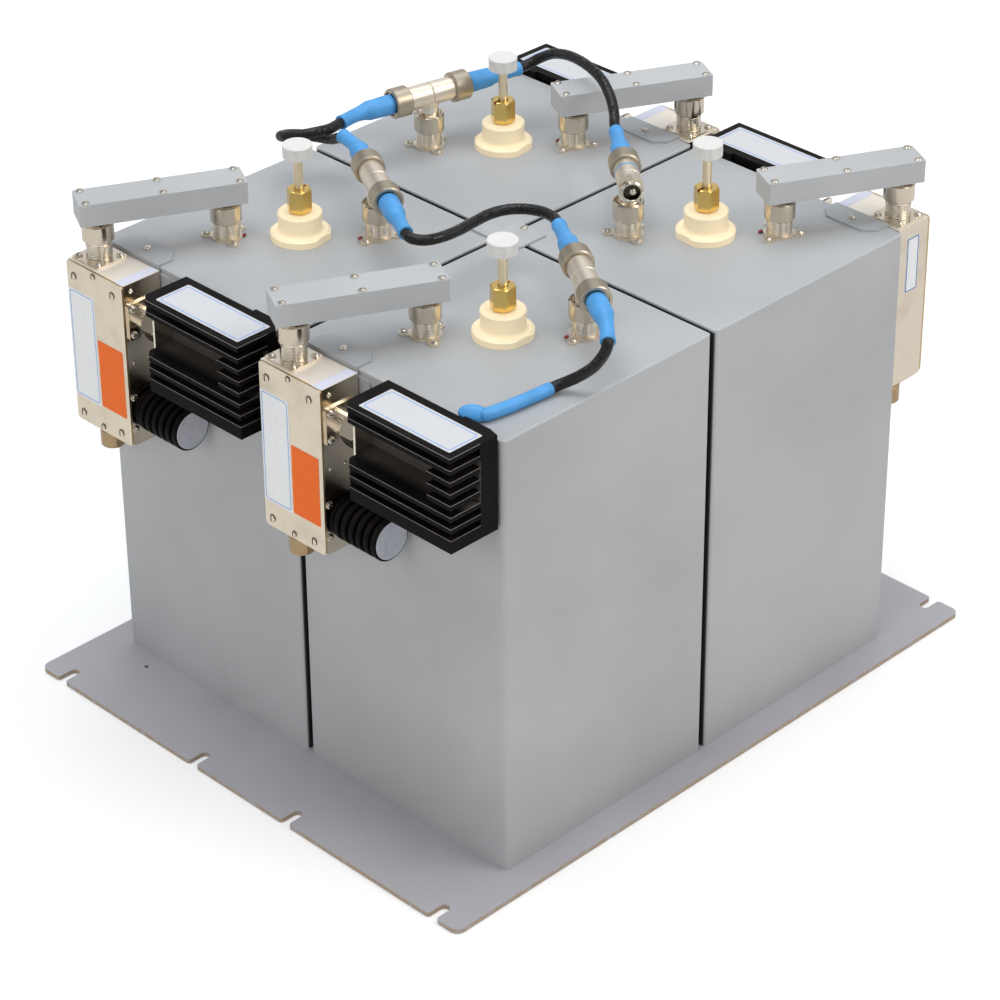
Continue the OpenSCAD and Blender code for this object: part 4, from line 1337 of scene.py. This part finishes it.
@dataclass
class Studio:
    """Plain pale floor and soft lamps."""

    floor_size: float = 14.0
    floor_drop: float = 0.4 * MM
    floor_glow: float = 0.3
    world_level: float = 0.66
    sky: tuple[tuple[float, Colour], ...] = (
        (0.0, (1.0, 0.99, 0.97, 1.0)), (0.75, (0.7, 0.73, 0.78, 1.0)),
    )
    bands: tuple[tuple[float, float], ...] = (
        (0.0, 1.15), (0.1, 1.15), (0.16, 0.25), (0.24, 0.25), (0.31, 1.3), (0.5, 1.2),
        (0.56, 0.3), (0.66, 0.3), (0.73, 1.3), (0.88, 1.2), (1.0, 0.5),
    )
    lamps: tuple[Lamp, ...] = (
        Lamp("top_lamp", (0.1, 0.3, 3.0), (0.0, 0.0, 0.2), 2.2, 46.0, COOL),
        Lamp("key_lamp", (1.0, -2.3, 2.3), (0.0, 0.0, 0.2), 1.5, 29.0, WARM),
        Lamp("side_lamp", (-2.6, -0.3, 1.6), (0.0, 0.0, 0.25), 1.6, 14.5, WARM, mirrored=False),
    )

    def build(self) -> None:
        """Make floor, world and lamps."""
        bpy.context.scene.view_settings.view_transform = "Standard"
        self._floor()
        self._world()
        for lamp in self.lamps:
            lamp.hang()

    def _floor(self) -> None:
        """Lay the floor, which shows white to the camera and keeps the shadow."""
        Bench.clear()
        bpy.ops.mesh.primitive_plane_add(size=self.floor_size, location=(0, 0, 0))
        floor = bpy.context.object
        floor.name = "studio_floor"
        bpy.ops.object.mode_set(mode="EDIT")
        bpy.ops.mesh.select_all(action="SELECT")
        bpy.ops.mesh.subdivide(number_cuts=3)
        bpy.ops.transform.translate(value=(0, 0, -self.floor_drop))
        bpy.ops.object.mode_set(mode="OBJECT")
        recipe = Recipe("studio_floor")
        tone = recipe.noise(recipe.place(), 1.5, 2.0)
        recipe.feed(
            base_color=recipe.blend(tone, (0.8, 0.8, 0.8, 1.0), (0.83, 0.83, 0.83, 1.0)),
            roughness=0.7, specular_ior_level=0.1,
        )
        path = recipe.node("ShaderNodeLightPath")
        seen = Wire(recipe, path.outputs["Is Camera Ray"])
        seen = seen.most(Wire(recipe, path.outputs["Is Transmission Ray"]))
        level = seen * self.floor_glow
        glow = recipe.node("ShaderNodeEmission", sockets={0: (1.0, 1.0, 1.0, 1.0), 1: level})
        parts = {0: recipe.shader.outputs[0], 1: glow.outputs[0]}
        both = recipe.node("ShaderNodeAddShader", sockets=parts)
        recipe.tree.links.new(both.outputs[0], recipe.output.inputs[0])
        floor.data.materials.append(recipe.material)

    def _world(self) -> None:
        """Light the world from pale sides to a grey top, in bands that the metal shows."""
        world = bpy.data.worlds.new("studio_world")
        bpy.context.scene.world = world
        world.use_nodes = True
        board = Board(world.node_tree)
        coord = board.node("ShaderNodeTexCoord")
        parts = board.node("ShaderNodeSeparateXYZ", sockets={0: coord.outputs["Generated"]})
        height = board.node("ShaderNodeValToRGB", {"stops": self.sky}, {0: parts.outputs[2]})
        across = board.node("ShaderNodeMapRange", sockets={0: parts.outputs[0], 1: -1.0})
        stops = [(place, (level, level, level, 1.0)) for place, level in self.bands]
        bands = board.node("ShaderNodeValToRGB", {"stops": stops}, {0: across.outputs[0]})
        shade = board.node(
            "ShaderNodeMix",
            {"data_type": "RGBA", "blend_type": "MULTIPLY"},
            {0: 1.0, 6: height.outputs[0], 7: bands.outputs[0]},
        )
        light = board.node(
            "ShaderNodeBackground", sockets={0: shade.outputs[2], 1: self.world_level}
        )
        board.node("ShaderNodeOutputWorld", sockets={0: light.outputs[0]})


@dataclass
class Arm:
    """A cable plug: the tee or elbow it leaves, its direction, and how its sleeve bends."""

    name: str
    axis: Point
    turn: float
    yaw: float = 0.0
    droop: float = 0.0
    start: float = 28.2 * MM
    joint: float = 25.4 * MM
    mouth: float = 43.4 * MM
    before: float = 4.0 * MM
    after: tuple[float, float] = (5.0 * MM, 11.0 * MM)
    stations: tuple[tuple[float, float], ...] = (
        (0.0, 5.9), (0.3, 6.4), (1.0, 6.75), (4.4, 6.8), (8.4, 6.75), (13.4, 6.6),
        (17.4, 6.5), (19.0, 6.4), (20.4, 6.0), (22.4, 5.45), (24.4, 5.05), (26.4, 4.8),
        (29.4, 4.62), (33.4, 4.55), (37.4, 4.55), (41.0, 4.6), (41.4, 4.85), (42.8, 4.9),
        (43.3, 4.75), (43.4, 4.3),
    )

    def heading(self) -> Vector:
        """Direction of the plug."""
        angle = math.radians(self.turn)
        return Vector((math.cos(angle), math.sin(angle), 0))

    def sleeve_heading(self) -> Vector:
        """Direction of the sleeve after its bend.

        Returns:
            A unit vector.
        """
        angle, down = math.radians(self.turn + self.yaw), math.radians(self.droop)
        level = math.cos(down)
        return Vector((math.cos(angle) * level, math.sin(angle) * level, -math.sin(down)))

    def line(self) -> list[Vector]:
        """Middle line of the boot.

        Returns:
            Points from the root to the mouth.
        """
        root = Vector(self.axis) * MM + self.heading() * self.start
        bend = root + self.heading() * self.joint
        way = self.sleeve_heading()
        points = [root, root + self.heading() * (self.joint / 2)]
        points.append(bend - self.heading() * self.before)
        points += [bend + way * reach for reach in (*self.after, self.mouth - self.joint)]
        return smooth_line(points, 12)

    def build(self) -> bpy.types.Object:
        """Make the boot as one bent rubber piece.

        Returns:
            The boot's piece.
        """
        line = self.line()
        total = line_length(line)
        route = [point_along(line, reach * MM / self.mouth * total) for reach, _ in self.stations]
        radii = [radius * MM for _, radius in self.stations]
        boot = Bench.tube(f"cable_boot_{self.name}", route, radii, 28)
        Bench.dress(boot, BLUE)
        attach(boot, "root")
        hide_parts("cable_boots")
        LOG.info("boot %s, %.1f mm long", self.name, total / MM)
        return boot


@dataclass
class Cable:
    """A free cable: a round jacket swept along its route, with a UV map along it."""

    name: str
    node: str
    route: list[Point]
    far_end: str = "object"
    diameter: float = 7.0 * MM
    sides: int = 20
    smoothing: int = 7
    lay: str = "loose"
    with_pieces: list[object] = field(default_factory=list)

    def build(self) -> bpy.types.Object:
        """Returns:
            The cable's piece.
        """
        line = smooth_line(metres(self.route), self.smoothing)
        mesh = bpy.data.meshes.new(self.name)
        cable = bpy.data.objects.new(self.name, mesh)
        bpy.context.scene.collection.objects.link(cable)
        mesh.from_pydata(self._rings(line), [], self._faces(len(line)))
        self._chart(mesh, line)
        Bench.pick(cable)
        bpy.ops.object.shade_smooth_by_angle(angle=math.radians(50))
        Bench.dress(cable, JACKET)
        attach(cable, "root")
        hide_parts(self.node)
        line_length(line)
        LOG.info("cable %s, %.1f mm long", self.name, line_length(line) / MM)
        return cable

    def _rings(self, line: list[Vector]) -> list[Vector]:
        """Points of a round section at each point of the line.

        Args:
            line: the middle line.

        Returns:
            The points, section by section.
        """
        up = Vector((0, 0, 1))
        points: list[Vector] = []
        for k, spot in enumerate(line):
            way = (line[min(k + 1, len(line) - 1)] - line[max(k - 1, 0)]).normalized()
            side = way.cross(up).normalized()
            over = side.cross(way)
            for s in range(self.sides):
                angle = 2 * math.pi * s / self.sides
                out = side * math.cos(angle) + over * math.sin(angle)
                points.append(spot + out * self.diameter / 2)
        return points

    def _faces(self, count: int) -> list[tuple[int, ...]]:
        """Faces between the sections, closed at both ends.

        Args:
            count: number of sections.

        Returns:
            Point numbers of each face.
        """
        faces: list[tuple[int, ...]] = [tuple(range(self.sides))]
        for k in range(count - 1):
            for s in range(self.sides):
                a, b = k * self.sides + s, k * self.sides + (s + 1) % self.sides
                faces.append((a, a + self.sides, b + self.sides, b))
        faces.append(tuple(reversed(range((count - 1) * self.sides, count * self.sides))))
        return faces

    def _chart(self, mesh: bpy.types.Mesh, line: list[Vector]) -> None:
        """Lay the UV map in metres: u along the cable and v round it.

        Args:
            mesh: the cable's mesh.
            line: the middle line.
        """
        reach = line_marks(line)
        chart = mesh.uv_layers.new(name="jacket")
        girth = math.pi * self.diameter
        for polygon in mesh.polygons:
            places = [divmod(vertex, self.sides) for vertex in polygon.vertices]
            closing = len(places) == 4 and any(s == self.sides - 1 for _, s in places)
            for corner, (ring, s) in zip(polygon.loop_indices, places):
                share = 1.0 if closing and s == 0 else s / self.sides
                chart.data[corner].uv = (reach[ring], girth * share)


@dataclass
class LeadSleeve:
    """The blue sleeve on the output lead, with its loose end pressed to a leaf."""

    radius: float = 4.05 * MM
    mouth: float = 3.8 * MM
    ends: tuple[float, ...] = (4.1 * MM, 3.9 * MM, 2.6 * MM)
    turn: float = 122.0
    knee: float = 4.0 * MM
    leaf_reach: float = 6.8 * MM
    leaf_size: Point = (9.4 * MM, 5.4 * MM, 2.6 * MM)
    leaf_tilt: float = -42.0
    leaf_lift: float = 0.4 * MM

    def build(self) -> list[object]:
        """Make the sleeve and the leaf, the pieces that go with the lead.

        Returns:
            The sleeve and the leaf.
        """
        line = smooth_line(metres(OUTPUT_LEAD[6:]), 10)
        ahead = (line[-1] - line[-2]).normalized()
        side = turned(self.turn, "Z") @ Vector((1, 0, 0))
        knee = line[-1] + ahead * self.knee
        route = line + [line[-1] + ahead * self.knee / 2, knee + side * MM, knee + side * 3 * MM]
        radii = [self.mouth] + [self.radius] * (len(line) - 1) + list(self.ends)
        sleeve = Bench.tube("lead_sleeve", route, radii, 28)
        Bench.dress(sleeve, BLUE)
        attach(sleeve, "root")
        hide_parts("lead_end")
        LOG.info("lead sleeve with %d stations", len(route))
        return [sleeve, self._leaf(knee + side * self.leaf_reach)]

    def _leaf(self, middle: Vector) -> bpy.types.Object:
        """Press a ball into the rounded leaf about its middle.

        Args:
            middle: the leaf's middle.

        Returns:
            The leaf's piece.
        """
        Bench.clear()
        bpy.ops.mesh.primitive_uv_sphere_add(segments=36, ring_count=20, radius=1.0)
        leaf = bpy.context.object
        leaf.name = "lead_leaf"
        bpy.ops.object.mode_set(mode="EDIT")
        bpy.ops.mesh.select_all(action="SELECT")
        bpy.ops.transform.resize(value=self.leaf_size)
        bpy.ops.transform.vertex_random(offset=0.05 * MM, seed=5)
        bpy.ops.mesh.normals_make_consistent(inside=False)
        bpy.ops.object.mode_set(mode="OBJECT")
        bpy.ops.object.shade_smooth()
        spot = Matrix.Translation(middle + Vector((0, 0, self.leaf_lift)))
        Bench.seat(leaf, spot @ turned(self.turn, "Z") @ turned(self.leaf_tilt, "X"))
        Bench.dress(leaf, BLUE)
        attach(leaf, "root")
        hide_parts("lead_end")
        LOG.info("leaf at the lead's loose end")
        return leaf


@dataclass
class Elbow:
    """What the elbow carries: a blue ring on its run, and a cap and plug in its back."""

    ring_reach: float = 8.6 * MM
    ring_profile: tuple[tuple[float, float], ...] = (
        (7.6 * MM, 0.0), (8.05 * MM, 0.1 * MM), (8.1 * MM, 0.6 * MM), (8.05 * MM, 1.1 * MM),
        (7.6 * MM, 1.2 * MM),
    )
    cap_reach: float = 11.5 * MM
    cap_radius: float = 7.3 * MM
    cap_bore: float = 5.3 * MM
    cap_floor: float = 1.6 * MM
    cap_height: float = 5.2 * MM
    plug_shift: tuple[float, float] = (0.9 * MM, 1.0 * MM)
    plug_profile: tuple[tuple[float, float], ...] = (
        (2.9 * MM, 0.0), (2.9 * MM, 0.9 * MM), (2.1 * MM, 1.9 * MM), (1.0 * MM, 2.4 * MM),
        (0.2 * MM, 2.5 * MM),
    )

    def build(self) -> None:
        """Make the ring, then the cap and the plug."""
        self._ring()
        self._cap()

    def _along(self, turn: float, reach: float) -> Matrix:
        """Placement on the run, with +Z out of the elbow."""
        out = turned(turn, "Z") @ turned(90, "Y")
        return shift(ELBOW) @ out @ Matrix.Translation((0, 0, reach))

    def _ring(self) -> None:
        """Slip the thin blue ring on the elbow's run."""
        band = Bench.turn("elbow_ring", self.ring_profile, 48)
        Bench.seat(band, self._along(ELBOW_TURN, self.ring_reach))
        Bench.dress(band, BLUE)
        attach(band, "root")
        LOG.info("blue ring on the elbow")

    def _cap(self) -> None:
        """Screw the hollow cap with its plug into the elbow's back."""
        rim, bore, floor, tall = self.cap_radius, self.cap_bore, self.cap_floor, self.cap_height
        outside = [(rim - 0.5 * MM, 0.0), (rim, 0.5 * MM), (rim, tall - 1.0 * MM)]
        lip = [(rim - 0.9 * MM, tall), (bore + 0.3 * MM, tall), (bore, tall - 0.4 * MM)]
        inside = [(bore - 0.2 * MM, floor), (0.5 * MM, floor)]
        cap = Bench.turn("elbow_cap", outside + lip + inside, 56)
        plug = Bench.turn("elbow_plug", self.plug_profile, 32)
        spot = self._along(ELBOW_TURN + 180, self.cap_reach)
        Bench.seat(cap, spot)
        Bench.seat(plug, spot @ Matrix.Translation((*self.plug_shift, floor)))
        for piece, finish in ((cap, CAP), (plug, TURNED)):
            Bench.dress(piece, finish)
            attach(piece, "root")
        LOG.info("cap and plug on the elbow")


@dataclass
class JackSeals:
    """Red lacquer beside the screws of five jacks, on an ear or on the lid by it."""

    radius: float = 1.6 * MM
    stretch: Point = (1.2, 0.8, 0.6)
    rough: float = 0.15 * MM
    on_ear: float = LID_Z + 2.2
    on_lid: float = LID_Z + 1.0

    def build(self) -> None:
        """Dab the five seals."""
        spots = {
            "front_output": (-69.0, -122.6, self.on_ear),
            "left_output": (-69.0, 58.8, self.on_ear),
            "left_input": (-116.3, 116.1, self.on_lid),
            "right_input": (116.7, -114.2, self.on_lid),
            "back_input": (120.5, 68.8, self.on_lid),
        }
        for name, spot in spots.items():
            seal = Bench.dab(f"ear_seal_{name}", self.radius, self.stretch, self.rough, 7)
            Bench.seat(seal, shift(spot))
            Bench.dress(seal, RED)
            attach(seal, "root")
            LOG.info("seal on the %s jack", name)


@dataclass
class Harness:
    """Cables, boots, tees and nuts that join the four outputs."""

    arms: list[Arm] = field(
        default_factory=lambda: [
            Arm("front_out", FRONT_TEE, 57.0),
            Arm("front_lead", FRONT_TEE, 237.0, yaw=-10.0, droop=12.0),
            Arm("left_back", LEFT_TEE, 61.0, yaw=16.0),
            Arm("left_front", LEFT_TEE, 241.0),
            Arm("back_right", BACK_TEE, -12.0),
            Arm("back_left", BACK_TEE, 168.0, yaw=18.0),
            Arm("right_back", ELBOW, ELBOW_TURN),
        ]
    )

    def build(self) -> None:
        """Make and dress the harness, cables first."""
        lead_pieces = LeadSleeve().build()
        Cable("cable_front_left", "jumper_front_left", FRONT_LEFT).build()
        Cable("cable_left_back", "jumper_left_back", LEFT_BACK).build()
        Cable("cable_back_right", "jumper_back_right", BACK_RIGHT).build()
        Cable(
            "cable_output_lead", "output_lead", OUTPUT_LEAD, far_end="fitting",
            with_pieces=lead_pieces,
        ).build()
        for arm in self.arms:
            arm.build()
        Elbow().build()
        JackSeals().build()
        Bench.coat("coupling_nuts", COUPLING)
        Bench.coat("plug_bodies", TURNED)
        Bench.coat("tee_connectors", TEE)
        Bench.coat("elbow_connector", TEE)
        Bench.coat("cavity_jacks", JACK)
        Bench.coat("coupling_loops", COPPER)


@dataclass
class Label:
    """A thin plate with rounded corners that carries a plain printed field."""

    name: str
    finish: PrintedField
    radius: float = 1.0 * MM
    thick: float = 0.15 * MM

    def build(self, matrix: Matrix) -> bpy.types.Object:
        """Make the label.

        Args:
            matrix: placement, with the width along X, the height along Y and the face to +Z.

        Returns:
            The label's piece.
        """
        Bench.clear()
        bpy.ops.mesh.primitive_plane_add(size=1)
        piece = bpy.context.object
        piece.name = self.name
        width, height = self.finish.size
        bpy.ops.object.mode_set(mode="EDIT")
        bpy.ops.mesh.select_all(action="SELECT")
        bpy.ops.transform.resize(value=(width, height, 1))
        bpy.ops.mesh.bevel(offset=self.radius, segments=5, affect="VERTICES")
        bpy.ops.mesh.select_all(action="SELECT")
        bpy.ops.mesh.extrude_region_move(TRANSFORM_OT_translate={"value": (0, 0, self.thick)})
        bpy.ops.mesh.select_all(action="SELECT")
        bpy.ops.mesh.normals_make_consistent(inside=False)
        bpy.ops.object.mode_set(mode="OBJECT")
        mesh = piece.data
        chart = mesh.uv_layers.active or mesh.uv_layers.new(name="print")
        for loop in mesh.loops:
            spot = mesh.vertices[loop.vertex_index].co
            chart.data[loop.index].uv = (spot.x / width + 0.5, spot.y / height + 0.5)
        Bench.seat(piece, matrix)
        Bench.dress(piece, self.finish)
        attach(piece, "root")
        LOG.info("label %s, %.0f by %.0f mm", self.name, width / MM, height / MM)
        return piece


@dataclass
class JackThreads:
    """Thread on the open part of each upright jack's barrel."""

    pitch: float = 1.06 * MM
    bottom: float = 1.7 * MM
    top: float = 12.0 * MM
    lead_in: float = 0.3 * MM
    crest: float = 8.32 * MM
    root: float = 8.13 * MM
    flank: tuple[float, float, float] = (0.35, 0.6, 0.92)

    def build(self) -> None:
        """Turn one thread and copy it onto the twelve jacks."""
        rise, crest_end, fall = (share * self.pitch for share in self.flank)
        profile = [(self.root, self.bottom)]
        level = self.bottom + self.lead_in
        while level + self.pitch < self.top:
            profile += [
                (self.root, level), (self.crest, level + rise),
                (self.crest, level + crest_end), (self.root, level + fall),
            ]
            level += self.pitch
        pattern = Bench.turn("thread_pattern", profile, 48)
        Bench.dress(pattern, TURNED)
        places = {
            "input": (*INPUT_XY, LID_Z),
            "output": (*OUTPUT_XY, LID_Z),
            "port": (*PORT_XY, ISOLATOR_TOP_Z),
        }
        for channel in Channel:
            for role, spot in places.items():
                matrix = channel.matrix @ shift(spot)
                thread = Bench.copy(pattern, f"jack_thread_{role}_{channel.label}", matrix)
                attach(thread, "root")
        Bench.drop(pattern)
        LOG.info("threads on %d jacks", len(places) * len(Channel))


@dataclass
class CavityFilter:
    """A cavity with its resonator and tuning stack."""

    channel: Channel
    seal_radius: float = 1.3 * MM
    seal_stretch: Point = (1.5, 0.8, 0.5)
    seal_rough: float = 0.12 * MM
    seal_spot: Point = (5.3, 0.0, LID_Z + 33.0)

    def build(self) -> None:
        """Finish the cavity's solids and seal its lock nut."""
        name = self.channel.label
        Bench.coat(f"cavity_{name}", CAVITY)
        Bench.coat(f"resonator_{name}", COPPER)
        Bench.coat(f"tuning_boss_{name}", IVORY)
        Bench.coat(f"lock_nut_{name}", BRASS)
        Bench.coat(f"tuning_rod_{name}", ROD)
        Bench.coat(f"tuning_knob_{name}", WHITE)
        self._seal()

    def _seal(self) -> None:
        """Dab lacquer into the notch of the lock nut."""
        name = f"nut_seal_{self.channel.label}"
        seal = Bench.dab(name, self.seal_radius, self.seal_stretch, self.seal_rough, 3)
        Bench.seat(seal, self.channel.matrix @ shift(self.seal_spot))
        Bench.dress(seal, RED)
        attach(seal, f"locking_{self.channel.label}")
        LOG.info("seal on the %s lock nut", self.channel.label)


@dataclass
class Isolator:
    """An isolator with its connector bar and its four labels."""

    channel: Channel
    white_spot: Point = (FRONT_X, 71.3, 252.9)
    orange_spot: Point = (FRONT_X, 45.6, 239.0)
    narrow_spot: Point = (-106.0, FAR_Y, 282.2)
    strip_spot: Point = (-106.2, 34.4, ISOLATOR_TOP_Z)
    strip_corner: float = 0.4 * MM

    def build(self) -> None:
        """Finish the isolator's solids and stick its labels on."""
        name = self.channel.label
        Bench.coat(f"isolator_{name}", SHELL)
        Bench.coat(f"line_bar_{name}", LIT_BAR_ENAMEL)
        upright = turned(90, "X")
        front, far = turned(-90, "Z") @ upright, turned(180, "Z") @ upright
        self._stick(LABEL_WHITE, self.white_spot, front)
        self._stick(LABEL_ORANGE, self.orange_spot, front)
        self._stick(LABEL_NARROW, self.narrow_spot, far)
        self._stick(LABEL_STRIP, self.strip_spot, Matrix(), self.strip_corner)

    def _stick(
        self, finish: PrintedField, spot: Point, face: Matrix, corner: float = 1.0 * MM
    ) -> None:
        """Stick one label on, turned to its face."""
        label = Label(f"{finish.name}_{self.channel.label}", finish, radius=corner)
        label.build(self.channel.matrix @ shift(spot) @ face)


@dataclass
class Loads:
    """The finned load and the small round load of a channel."""

    channel: Channel
    label_spot: Point = (-110.6, -43.25, SINK_Z)
    neck: float = 5.0
    ring_count: int = 6
    ring_pitch: float = 6.45
    ring_gap: float = 2.25
    disc_radius: float = 12.6 * MM

    def build(self) -> None:
        """Finish both loads and add their plain labels."""
        name = self.channel.label
        Bench.coat(f"heat_sink_load_{name}", BLACK)
        Bench.coat(f"small_load_{name}", BLACK)
        sink_label = Label(f"label_load_{name}", LABEL_LOAD)
        sink_label.build(self.channel.matrix @ shift(self.label_spot))
        self._disc()

    def _disc(self) -> None:
        """Stick the round white disc on the small load's end."""
        rim = self.disc_radius
        disc = Bench.turn(
            f"label_disc_{self.channel.label}",
            [
                (rim, 0.0), (rim, 0.25 * MM), (rim - 0.2 * MM, 0.4 * MM),
                (rim * 0.6, 0.55 * MM), (rim * 0.1, 0.6 * MM),
            ],
            56,
        )
        length = self.neck + self.ring_count * self.ring_pitch - self.ring_gap
        end = (PORT_XY[0], ISOLATOR_NEAR - length, LID_Z - RING_DROP)
        Bench.seat(disc, self.channel.matrix @ shift(end) @ turned(90, "X"))
        Bench.dress(disc, LABEL_DISC)
        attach(disc, "root")
        LOG.info("disc on the %s small load", self.channel.label)


@dataclass
class Shelf:
    """Base plate, tie plate, brackets and fasteners."""

    def build(self) -> None:
        """Finish the shelf's solids."""
        Bench.coat("base_plate", PLATE)
        Bench.coat("tie_plate", CAVITY)
        Bench.coat("line_bar_covers", LIT_BAR_ENAMEL)
        Bench.coat("isolator_covers", COVER)
        Bench.coat("isolator_brackets", BRACKET)
        Bench.coat("isolator_ports", TURNED)
        Bench.coat("transmitter_ports", PORT)
        Bench.coat("screws", SCREW)


def main() -> None:
    """Build the scene in order."""
    logging.basicConfig(level=logging.INFO, format="%(message)s")
    PhotoCamera().build()
    Studio().build()
    Harness().build()
    JackThreads().build()
    Shelf().build()
    for channel in Channel:
        CavityFilter(channel).build()
        Isolator(channel).build()
        Loads(channel).build()


if __name__ == "__main__":
    main()
